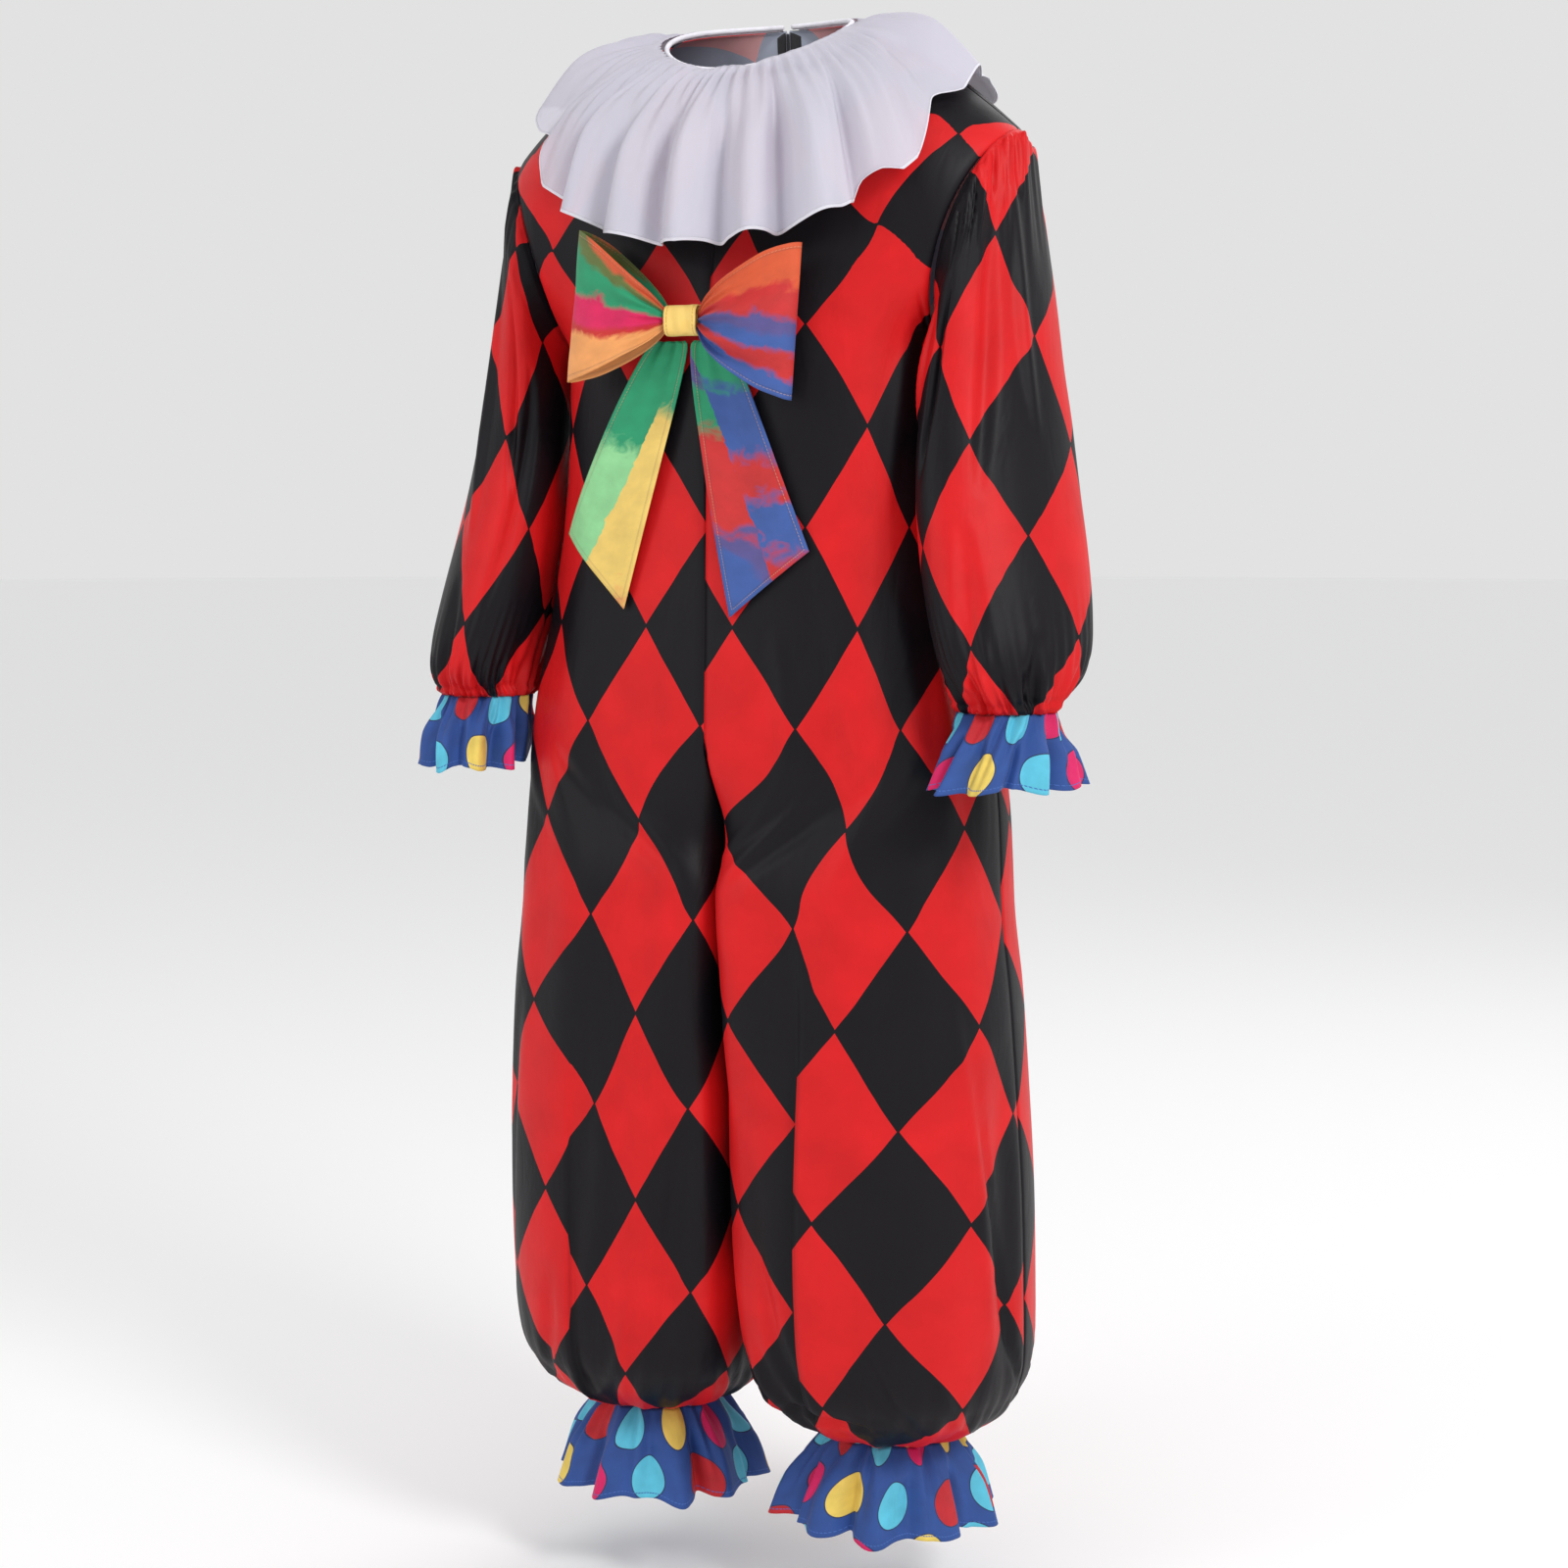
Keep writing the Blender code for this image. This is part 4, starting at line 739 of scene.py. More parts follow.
def flat_yoke(yoke, low_across):
    """The yoke's places on the flat cloth, above its lowest row, whose places across are known."""
    low = yoke[-1]
    behind = np.abs(yoke[..., 1] - yoke[:, :1, 1])
    extra = np.interp(behind, np.abs(low[:, 1] - low[0, 1]), low_across - low[:, 0])
    across = yoke[..., 0] + extra
    steps = np.linalg.norm(np.diff(yoke, axis=0), axis=-1)
    rise = np.sqrt(np.maximum(steps**2 - np.diff(across, axis=0) ** 2, 0))
    down = -np.cumsum(rise[::-1], axis=0)[::-1]
    climb = ease((yoke[:-1, :, 2] - UNDERARM_Z) / YOKE_LOWER_REACH)
    aside = (yoke[:-1, :, 0] / NECK_HALF_WIDTH - YOKE_LOWER_FROM) / (1 - YOKE_LOWER_FROM)
    return pairs(across[:-1], down - YOKE_LOWER * climb * ease(aside))


def groove(distance):
    return -SEAM_GROOVE * hump(distance, SEAM_GROOVE_WIDTH)


def tuck_shape(across, total, tuck):
    """How far the cloth is lifted beside the tuck, and how far its upper layer laps over the lower."""
    last_left, share, depth = tuck
    upper = np.arange(PANEL_COLUMNS)[None, :] > last_left
    near = hump(across - share[:, None] * total, np.where(upper, TUCK_REACH_OVER, TUCK_REACH_UNDER))
    lift = depth[:, None] * near * np.where(upper, 1.0, TUCK_DIP)
    lap = np.where(upper, TUCK_LAP * depth[:, None] * near, 0.0)
    return lift, lap


def panel_points(face, hand):
    points, z = panel_grid(face)
    tuck = tuck_of(face, hand, z)
    points = eased_rows(evenly_spread(points, *tuck[:2]))
    body = flat_body(points[YOKE_STEPS:], z, face, hand, tuck)
    cut = np.concatenate([flat_yoke(points[: YOKE_STEPS + 1], body[0, :, 0]), body])
    across, down, height = along(points, 1), along(points, 0), points[..., 2]
    edge = np.minimum(across, across[:, -1:] - across)
    raised, lap = tuck_shape(across, across[:, -1:], tuck)
    lift = creases(PANEL_CREASES, across, height, face=face, hand=hand)
    lift = lift * ease(edge / SEAM_FADE) * ease(down / SEAM_FADE)
    lift = (lift + raised) * ease((height - ANKLE_Z) / ANKLE_FADE)
    lift = lift + groove(edge) + groove(down)
    lift = np.where(height < ANKLE_Z + ANKLE_PLAIN, 0, lift)
    normals = facing(points) * -FACES[face]
    rightward = unit(np.gradient(points, axis=1))
    return points + normals * lift[..., None] - rightward * lap[..., None], cut


PANELS = {(face, hand): panel_points(face, hand) for face in FACES for hand in HANDS}


# ==== Sleeves ========================================================================================
SLEEVE_COLUMNS = 196
SLEEVE_STEPS = 122
LAST_RING = len(SLEEVE) - 2
SLEEVE_ROWS = [("share", "ring_share"), (0, 0), (0.1, 0.09), (0.8, 0.74), (1, 1)]
SLEEVE_WIDTH = 0.53  # of the flat cloth
SLEEVE_LAY = [  # where the pattern's column 0 runs, how far it leans, and where one of its corners is
    ("hand", "across", "lean", "down"),
    ("left", 0.085, 0.178, -0.262),
    ("right", 0.122, 0.020, -0.275),
]
WRIST_PUCKER = [("ring", "depth"), (8.5, 0.0), (10.5, 0.0010), (12.2, 0.0028), (13.0, 0.0014)]
WRIST_FADE = 1.2  # creases fade out over this many rings above the wrist
CAP_PUCKER_SINK = 0.6  # the puckers at the cap lie mostly below its form
CAP_PUCKER_START = 0.4  # and begin over this share of the first ring
CAP_PUCKER = [("ring", "depth"), (0.0, 0.0012), (0.5, 0.0036), (1.6, 0.0020), (3.6, 0.0)]
CASING_HEIGHT = 0.012  # the ruffled band below the wrist's elastic
CASING_BULGE = 0.0024
CASING_PINCH = 0.0014
CASING_BULGE_WIDTH = CASING_HEIGHT / 3
CASING_PINCH_WIDTH = CASING_HEIGHT / 3.5
CASING_RUFFLES = 44
CASING_SWAY = 1.2
CASING_SWAY_TURNS = 5
CASING_EVEN = 0.6  # the share of its bulge that is the same all round
SLEEVE_CREASE_SIZE = 1.5
SLEEVE_SINK = 0.0010  # at the armhole its outer face lies this far below the body's
SLEEVE_SINK_REACH = 0.006
SLEEVE_TUCK_IN = 0.0016
SLEEVE_CREASES = [  # x runs round the sleeve from its outer side, forwards; y is down from the cap
    ("hand", "x0", "y0", "x1", "y1", "half_width", "bend", "depth"),
    ("left", 0.028, 0.003, 0.030, 0.040, 0.0045, 0.001, -0.0034),
    ("left", 0.040, 0.003, 0.046, 0.058, 0.0050, 0.002, 0.0030),
    ("left", 0.052, 0.003, 0.060, 0.046, 0.0042, 0.001, -0.0036),
    ("left", 0.064, 0.003, 0.076, 0.064, 0.0052, -0.002, 0.0030),
    ("left", 0.078, 0.003, 0.094, 0.052, 0.0044, 0.001, -0.0036),
    ("left", 0.092, 0.003, 0.112, 0.050, 0.0048, 0.002, 0.0026),
    ("left", 0.105, 0.003, 0.128, 0.042, 0.0042, 0.001, -0.0028),
    ("left", 0.010, 0.003, 0.008, 0.050, 0.0048, -0.001, 0.0026),
    ("left", 0.120, 0.060, 0.165, 0.230, 0.014, 0.006, -0.0060),
    ("left", 0.160, 0.040, 0.200, 0.160, 0.012, 0.004, 0.0042),
    ("left", 0.060, 0.040, 0.080, 0.260, 0.018, 0.008, -0.0045),
    ("left", 0.020, 0.030, 0.010, 0.220, 0.014, -0.004, 0.0038),
    ("left", 0.100, 0.280, 0.150, 0.460, 0.024, 0.010, -0.0045),
    ("left", 0.040, 0.380, 0.070, 0.540, 0.018, -0.008, -0.0055),
    ("left", 0.150, 0.430, 0.120, 0.560, 0.016, 0.006, -0.0050),
    ("left", 0.090, 0.460, 0.095, 0.570, 0.012, 0.003, 0.0040),
    ("left", 0.490, 0.420, 0.500, 0.560, 0.016, 0.005, -0.0050),
    ("left", 0.440, 0.300, 0.420, 0.520, 0.022, -0.008, -0.0050),
    ("left", 0.350, 0.120, 0.330, 0.400, 0.024, 0.008, -0.0050),
    ("left", 0.250, 0.400, 0.260, 0.560, 0.015, 0.005, -0.0045),
    ("right", 0.300, 0.120, 0.300, 0.540, 0.075, 0.000, 0.0090),
    ("right", 0.110, 0.050, 0.150, 0.250, 0.015, 0.006, -0.0055),
    ("right", 0.060, 0.060, 0.090, 0.300, 0.018, 0.008, 0.0044),
    ("right", 0.160, 0.100, 0.150, 0.360, 0.020, -0.006, -0.0048),
    ("right", 0.090, 0.330, 0.140, 0.520, 0.022, 0.010, -0.0055),
    ("right", 0.140, 0.440, 0.120, 0.570, 0.014, 0.004, 0.0042),
    ("right", 0.050, 0.430, 0.060, 0.570, 0.014, -0.004, -0.0050),
    ("right", 0.010, 0.300, 0.020, 0.540, 0.020, 0.006, -0.0042),
    ("right", 0.470, 0.080, 0.450, 0.300, 0.018, 0.006, -0.0045),
    ("right", 0.430, 0.380, 0.450, 0.570, 0.016, 0.006, -0.0052),
    ("right", 0.330, 0.180, 0.340, 0.460, 0.022, -0.006, -0.0050),
    ("right", 0.230, 0.380, 0.220, 0.560, 0.015, 0.004, -0.0044),
]


def sleeve_points(hand):
    turns = np.arange(SLEEVE_COLUMNS + 1) / SLEEVE_COLUMNS - 0.5
    angle = (2 * math.pi * turns[:-1] % (2 * math.pi))[None, :]
    rows = np.linspace(0, 1, SLEEVE_STEPS)[:, None]
    ring = LAST_RING * np.interp(rows, column(SLEEVE_ROWS, "share"), column(SLEEVE_ROWS, "ring_share"))
    near_top = np.maximum(0.0, np.cos(np.minimum(angle, 2 * math.pi - angle) * CAP_GATHER_REACH)) ** 2
    swell = gather(angle, WRIST_GATHERS, read(WRIST_GATHER, "ring", "depth", ring))
    swell = swell + gather(angle, CAP_GATHERS, read(CAP_GATHER, "ring", "depth", ring)) * near_top
    swell = swell + read(WRIST_PUCKER, "ring", "depth", ring) * puckers("wrist", angle)
    cap = (puckers("cap", angle) - CAP_PUCKER_SINK) * near_top**2 * ease(ring / CAP_PUCKER_START)
    swell = swell + read(CAP_PUCKER, "ring", "depth", ring) * cap
    points = sleeve_point(ring, angle, swell)
    down = along(points, 0)
    above = down[-1:] - down
    flat_x, flat_y = angle / (2 * math.pi) * SLEEVE_WIDTH, np.mean(down, axis=1)[:, None]
    rounds = (flat_x - SLEEVE_WIDTH, flat_x, flat_x + SLEEVE_WIDTH)
    lift = SLEEVE_CREASE_SIZE * sum(creases(SLEEVE_CREASES, x, flat_y, hand=hand) for x in rounds)
    lift = lift * ease(down / SEAM_FADE) * ease((LAST_RING - ring) / WRIST_FADE)
    lift = lift - SLEEVE_SINK * (1 - ease(down / SLEEVE_SINK_REACH))
    ruffle = np.sin(CASING_RUFFLES * angle + CASING_SWAY * np.sin(CASING_SWAY_TURNS * angle))
    bulge = CASING_BULGE * (CASING_EVEN + (1 - CASING_EVEN) * ruffle)
    lift = lift + bulge * hump(above - CASING_HEIGHT / 2, CASING_BULGE_WIDTH)
    lift = lift - CASING_PINCH * hump(above - CASING_HEIGHT, CASING_PINCH_WIDTH)
    from_seam = np.abs(angle - math.pi) * SLEEVE_WIDTH / (2 * math.pi)
    lift = lift + groove(from_seam) * ease(down / SEAM_FADE)
    points = points - facing(sleeve_point(ring, angle), wrap=True) * lift[..., None]
    points[0] -= SLEEVE_TUCK_IN * unit(points[1] - points[0])
    lay = named(SLEEVE_LAY, hand=hand)[0]
    v = -np.concatenate([above, above[:, :1]], axis=1) - lay["down"]
    return points, pairs(turns * SLEEVE_WIDTH - lay["across"] - lay["lean"] * v, v)


# ==== Cuff and ankle frills ==========================================================================
FRILL_COLUMNS = 320
FRILL_STEPS = 28
FRILL_CLOTH_TURN = 40  # degrees by which a frill's phase of 1 turns its folds
FRILL_FULL = 0.55  # the share of the way down at which its folds are full
FRILL_WAVE_SHARE = 0.40  # of the solid's even waves; the rest is in the folds below
FRILL_WAVE_FADE = 0.3
FRILL_DIP_SHARE = 0.25
FRILL_FOLD_SIZE = 1.35
FRILL_SWAY = 1.6
FRILL_SWAY_TURNS = 4
FRILL_PUCKER = 0.0044
FRILL_PUCKER_REACH = 0.48
FRILL_PUCKER_EVEN = 0.7
FRILL_PUCKER_UNEVEN = 0.5
FRILL_PUCKER_TURNS = 7
FRILL_HELD = 0.0022  # by which the elastic flattens the puckers
FRILL_HELD_SHARPNESS = 6
FRILL_RIPPLE = 0.0016
FRILL_RIPPLES = 23
FRILL_RIPPLE_RISE = 0.7
FRILL_SWINGS = 5  # of its ripples' spacing and of its hem's height
FRILL_HEM_SWING = 0.0022
FRILL_FOLDS = [  # round a frill: raised above zero, sunk below it
    ("angle_deg", "half_width_deg", "depth", "start", "drop", "lean"),
    (6, 13, 0.0085, 0.10, 0.0020, 0.030),
    (25, 9, -0.0080, 0.20, -0.0015, 0.0),
    (43, 16, 0.0075, 0.05, 0.0010, -0.020),
    (64, 8, -0.0095, 0.15, -0.0020, 0.0),
    (80, 14, 0.0090, 0.10, 0.0028, 0.035),
    (99, 11, -0.0060, 0.25, -0.0010, 0.0),
    (117, 13, 0.0080, 0.05, 0.0012, -0.025),
    (135, 8, -0.0090, 0.20, -0.0022, 0.0),
    (153, 17, 0.0070, 0.10, 0.0016, 0.020),
    (176, 10, -0.0080, 0.15, -0.0012, 0.0),
    (194, 13, 0.0088, 0.05, 0.0022, -0.030),
    (214, 14, -0.0055, 0.25, -0.0008, 0.0),
    (233, 12, 0.0080, 0.10, 0.0018, 0.025),
    (249, 8, -0.0092, 0.15, -0.0020, 0.0),
    (268, 17, 0.0072, 0.05, 0.0010, -0.015),
    (289, 10, -0.0082, 0.20, -0.0018, 0.0),
    (306, 14, 0.0090, 0.10, 0.0024, 0.030),
    (327, 11, -0.0070, 0.15, -0.0010, 0.0),
    (345, 9, 0.0050, 0.30, 0.0008, -0.020),
]
wrist_end, ankle_end = named(SLEEVE)[-1], named(LEG)[-1]
WRIST = ((wrist_end["outer_x"] + wrist_end["inner_x"]) / 2, wrist_end["centre_y"], wrist_end["outer_z"])
ANKLE = (ankle_end["centre_x"], ankle_end["centre_y"], ankle_end["z"])
WRIST_PHASE = {"left": 0.4, "right": 1.9}  # turns the folds round, so that no two frills are alike
ANKLE_PHASE = {"left": 1.1, "right": 2.7}
FRILLS = [
    ("where", "table", "place", "waves", "slant", "print_width", "strip_width", "phase", "length", "puckers"),
    ("wrist", WRIST_FRILL, WRIST, WRIST_GATHERS, FRILL_SLANT, 0.52, 0.60, WRIST_PHASE, 0.86, 23),
    ("ankle", ANKLE_FRILL, ANKLE, ANKLE_GATHERS, 0.0, 0.72, 0.80, ANKLE_PHASE, 1.0, 31),
]


def frill_points(spec, phase):
    angle = (2 * math.pi * np.arange(FRILL_COLUMNS) / FRILL_COLUMNS)[None, :]
    down = np.linspace(0, 1, FRILL_STEPS)[:, None]
    last = spec["table"][-1][0]
    drop = down * last
    size = {name: read(spec["table"], "drop", name, drop) for name in spec["table"][0]}
    degrees = np.degrees(angle) + FRILL_CLOTH_TURN * phase
    lift, fold_drop, lean = folds_round(FRILL_FOLDS, degrees, down, FRILL_FULL)
    keep = 1 - (1 - FRILL_WAVE_SHARE) * ease(down / FRILL_WAVE_FADE)
    swell = gather(angle, spec["waves"], size["wave"]) * keep + FRILL_FOLD_SIZE * lift
    uneven = FRILL_PUCKER_EVEN + FRILL_PUCKER_UNEVEN * np.sin(FRILL_PUCKER_TURNS * angle + 3 * phase)
    pucker = FRILL_PUCKER * np.exp(-down / FRILL_PUCKER_REACH) * uneven
    pucker = pucker - FRILL_HELD * (1 - down) ** FRILL_HELD_SHARPNESS
    swell = swell + pucker * swayed(angle, spec["puckers"], FRILL_SWAY, FRILL_SWAY_TURNS, phase, phase)
    ripple = np.sin(FRILL_RIPPLES * angle + 2 * phase + np.sin(FRILL_SWINGS * angle))
    swell = swell + FRILL_RIPPLE * np.sin(math.pi * down**FRILL_RIPPLE_RISE) * ripple
    turned = angle + lean
    x = (size["half_x"] + swell) * np.cos(turned)
    y = -(size["half_y"] + swell) * np.sin(turned)
    dip = FRILL_DIP_SHARE * HEM_DIP * down * np.cos(spec["waves"] * angle) + fold_drop
    dip = dip + FRILL_HEM_SWING * down * np.sin(FRILL_SWINGS * angle + phase)
    points = point(
        spec["place"][0] + size["shift_x"] + x + spec["slant"] * down * y,
        spec["place"][1] + size["shift_y"] + y,
        spec["place"][2] - spec["length"] * drop - dip,
    )
    around = np.linspace(0, 1, FRILL_COLUMNS + 1)[None, :] * spec["print_width"]
    edge = np.repeat(spec["length"] * (last - drop), FRILL_COLUMNS + 1, axis=1)
    return points, pairs(around, spec["length"] * drop), edge


# ==== Collar =========================================================================================
COLLAR_COLUMNS = 529
COLLAR_STEPS = 40
NECK_PUCKERS = 67
NECK_PUCKER = [("down", "depth"), (0, 0.0014), (0.07, 0.0030), (0.22, 0.0019), (0.5, 0.0008), (1, 0.0)]
COLLAR_WAVE_SHARE = 0.30  # of the solid's even waves; the rest is in the flutes below
COLLAR_FLUTE_SIZE = 1.15
COLLAR_FLUTES = [  # round the collar from the front: raised above zero, sunk below it
    ("angle_deg", "half_width_deg", "depth", "start", "drop", "lean"),
    (-171, 7, 0.0070, 0.30, 0.002, 0.002),
    (-161, 6, -0.0085, 0.20, -0.003, 0.0),
    (-150, 10, 0.0105, 0.10, 0.004, -0.003),
    (-138, 7, -0.0080, 0.25, -0.003, 0.0),
    (-125, 11, 0.0090, 0.15, 0.003, 0.003),
    (-111, 6, -0.0105, 0.10, -0.003, 0.0),
    (-99, 11, 0.0085, 0.20, 0.002, 0.002),
    (-85, 8, -0.0070, 0.30, -0.002, 0.0),
    (-74, 9, 0.0090, 0.15, 0.003, -0.003),
    (-64, 6, -0.0115, 0.10, -0.004, 0.0),
    (-54, 9, 0.0080, 0.20, 0.003, 0.002),
    (-44, 5, -0.0100, 0.15, -0.003, 0.0),
    (-35, 8, 0.0115, 0.10, 0.006, 0.003),
    (-26, 5, -0.0105, 0.20, -0.004, 0.0),
    (-17, 8, 0.0085, 0.25, 0.004, -0.002),
    (-8, 4, -0.0120, 0.12, -0.004, 0.0),
    (1, 8, 0.0120, 0.08, 0.008, 0.003),
    (10, 4, -0.0100, 0.20, -0.003, 0.0),
    (18, 6, 0.0080, 0.30, 0.005, 0.002),
    (26, 5, -0.0125, 0.10, -0.006, 0.0),
    (37, 11, 0.0095, 0.15, 0.004, -0.003),
    (49, 5, -0.0110, 0.15, -0.003, 0.0),
    (60, 10, 0.0095, 0.10, 0.005, 0.003),
    (73, 7, -0.0085, 0.25, -0.003, 0.0),
    (86, 11, 0.0085, 0.15, 0.002, 0.002),
    (100, 6, -0.0095, 0.15, -0.003, 0.0),
    (113, 11, 0.0095, 0.20, 0.003, -0.002),
    (128, 7, -0.0085, 0.15, -0.003, 0.0),
    (142, 11, 0.0100, 0.10, 0.004, 0.003),
    (156, 6, -0.0090, 0.20, -0.002, 0.0),
    (168, 8, 0.0075, 0.25, 0.002, -0.002),
]
COLLAR_SHAPE = [  # broad changes to the collar's own form, in the same columns
    ("angle_deg", "half_width_deg", "depth", "start", "drop", "lean"),
    (-50, 44, 0.0000, 0.0, -0.0150, 0.0),
    (-112, 34, 0.0150, 0.0, 0.0120, 0.0),
    (140, 36, 0.0, 0.0, -0.0100, 0.0),
]
SHOULDER_SAMPLES = 60
NEAREST = 4  # points of the body looked at under each of the collar's
SOFT_ROWS = 2
SOFT_COLUMNS = 5
COLLAR_FULL = 0.62  # the share of the way down at which its flutes are full
FLUTE_BEND_DEG = 2.5
NECK_SWAY = 1.7
NECK_SWAY_TURNS = 6
NECK_SECOND_SWAY = 0.8
NECK_SECOND_TURNS = 11
COLLAR_RIPPLE = 0.0016
COLLAR_RIPPLE_RISE = 1.2


def height_under(points):
    """How high the shoulders and the yoke stand under each of the collar's points."""
    steps = np.linspace(0, 1, SHOULDER_SAMPLES)
    share, up = np.meshgrid(steps, steps)
    cloth = np.concatenate([yoke_point(face, share, up).reshape(-1, 3) for face in FACES])
    heights = []
    for row in points:
        apart = (cloth[None, :, 0] - np.abs(row[:, None, 0])) ** 2
        apart = apart + (cloth[None, :, 1] - row[:, None, 1]) ** 2
        nearest = np.argpartition(apart, NEAREST, axis=1)[:, :NEAREST]
        heights.append(np.max(cloth[nearest, 2], axis=1))
    return softened(np.array(heights), SOFT_ROWS, SOFT_COLUMNS)


def softened(values, rows, columns):
    """A grid's highest values among so many neighbours each way, averaged over them."""
    steps = ((0, rows, np.max), (1, columns, np.max), (0, rows, np.mean), (1, columns, np.mean))
    for axis, reach, combine in steps:
        moved = np.moveaxis(values, axis, 0)
        padded = np.concatenate([moved[:1]] * reach + [moved] + [moved[-1:]] * reach)
        sums = [padded[step : step + len(moved)] for step in range(2 * reach + 1)]
        values = np.moveaxis(combine(sums, axis=0), 0, axis)
    return values


def collar_points():
    phase = np.linspace(-math.pi, math.pi, COLLAR_COLUMNS)[None, :]
    down = np.linspace(0, 1, COLLAR_STEPS)[:, None]
    sway = np.sin(COLLAR_UNEVEN_TURNS * phase)
    angle = phase + COLLAR_UNEVEN_SPACING * sway * np.sin(phase) ** 2
    neck = neck_point(angle)
    hem = point(*(read(COLLAR_HEM, "angle_deg", axis, np.degrees(np.abs(angle))) for axis in "xyz"))
    hem[..., 0] *= np.sign(angle)
    outward = unit(point(neck[..., 0], neck[..., 1] - NECK_CENTRE_Y, 0.0))
    start = neck + outward * COLLAR_STAND_OFF + np.array([0, 0, COLLAR_LIFT])
    span = hem - start
    run = unit(span)
    lift = unit(np.array([0, 0, 1.0]) - run * run[..., 2:])
    side = unit(np.cross(run, lift))
    arch = COLLAR_ARCH * np.sin(math.pi * down**COLLAR_ARCH_LEAN)
    depth = read(COLLAR_WAVE, "down", "depth", down)
    wave = depth * np.cos(COLLAR_WAVES * phase) * (1 + COLLAR_UNEVEN_DEPTH * sway) * COLLAR_WAVE_SHARE
    degrees = np.degrees(phase)
    bent = degrees + FLUTE_BEND_DEG * np.sin(2 * down)
    flute, drop, lean = folds_round(COLLAR_FLUTES, bent, down, COLLAR_FULL)
    form, form_drop, _ = folds_round(COLLAR_SHAPE, degrees, down)
    wave = wave + COLLAR_FLUTE_SIZE * flute + form
    shift = NECK_SWAY * np.sin(NECK_SWAY_TURNS * phase)
    pucker = swayed(phase, NECK_PUCKERS, NECK_SECOND_SWAY, NECK_SECOND_TURNS, 1, shift)
    wave = wave + read(NECK_PUCKER, "down", "depth", down) * pucker
    wave = wave + COLLAR_RIPPLE * np.sin(math.pi * down**COLLAR_RIPPLE_RISE) * puckers("collar", phase)
    out = down[..., None] + ((drop + form_drop) * down / np.linalg.norm(span, axis=-1))[..., None]
    points = start + span * out + lift * (arch + wave)[..., None] + side * lean[..., None]
    half_gap = COLLAR_OPENING_NECK + (COLLAR_OPENING_HEM - COLLAR_OPENING_NECK) * down
    share = np.abs(angle) / math.pi
    part = ease((share - COLLAR_PARTS_FROM) / (1 - COLLAR_PARTS_FROM))
    points[..., 0] += np.sign(angle) * half_gap * part
    clear = COLLAR_CLEAR + COLLAR_CLEAR_HEM * down
    points[..., 2] = np.maximum(points[..., 2], height_under(points) + clear)
    width = along(points, 1)[-1]
    length = np.mean(along(points, 0)[-1])
    edge = np.minimum((1 - down) * length, np.minimum(width, width[-1] - width)[None, :])
    return points, pairs(width[None, :], down * length), edge


# ==== Bow ============================================================================================
LOOP_ACROSS = 60
LOOP_ALONG = 96
LOOP_FOLDS = [  # from the knot to the loop's far fold, at shares of its half height from -1 to 1
    ("hand", "at_knot", "at_fold", "depth", "half_width"),
    ("right", 0.72, 0.60, 0.0048, 0.15),
    ("right", 0.40, 0.18, -0.0050, 0.11),
    ("right", 0.05, -0.14, 0.0042, 0.14),
    ("right", -0.28, -0.50, -0.0046, 0.10),
    ("right", -0.66, -0.74, 0.0034, 0.12),
    ("left", 0.66, 0.76, 0.0036, 0.13),
    ("left", 0.36, 0.50, -0.0048, 0.10),
    ("left", 0.08, 0.16, 0.0044, 0.13),
    ("left", -0.22, -0.20, -0.0052, 0.10),
    ("left", -0.52, -0.50, 0.0046, 0.14),
    ("left", -0.84, -0.80, -0.0026, 0.09),
]
TAIL_ACROSS = 44
TAIL_ALONG = 90
LOOP_FLAT_FROM = 0.004  # its pleats fade out where its front layer stands less than this far forward
LOOP_FINE = 0.0017  # fine pleats beside the knot
LOOP_FINE_REACH = 0.034
LOOP_FINE_WIDTH = 0.020
LOOP_FINE_WAVES = 19
LOOP_FINE_SPREAD = 3
LOOP_SAG = 0.0045
LOOP_SAG_FROM = 0.03
LOOP_SAG_LENGTH = 0.09
LOOP_SAG_WAVES = 4.2
LOOP_FOLD_START = 0.3
LOOP_FOLD_FADE = 1.1
LOOP_FOLD_WIDTH = 0.7  # of its half width at the knot, and how much wider it grows along the loop
LOOP_FOLD_WIDENS = 0.9
KNOT_AROUND = 96
KNOT_ALONG = 24
KNOT_END = 0.06  # by which the knot narrows at its ends
KNOT_PLEAT = 0.0007
KNOT_PLEATS = 7
KNOT_PLEAT_SWAY = 0.8
KNOT_PLEAT_SHIFT = 0.6
KNOT_WAIST = 0.0009
KNOT_BAND_LENGTH = 0.082
TAIL_PLEAT = 0.0016
TAIL_PLEAT_REACH = 0.16
TAIL_PLEATS = 17
TAIL_WAVE = 0.0016
TAIL_WAVES = 2.2
CHEST_ROWS = 30  # of the yoke, over which the tails may lie


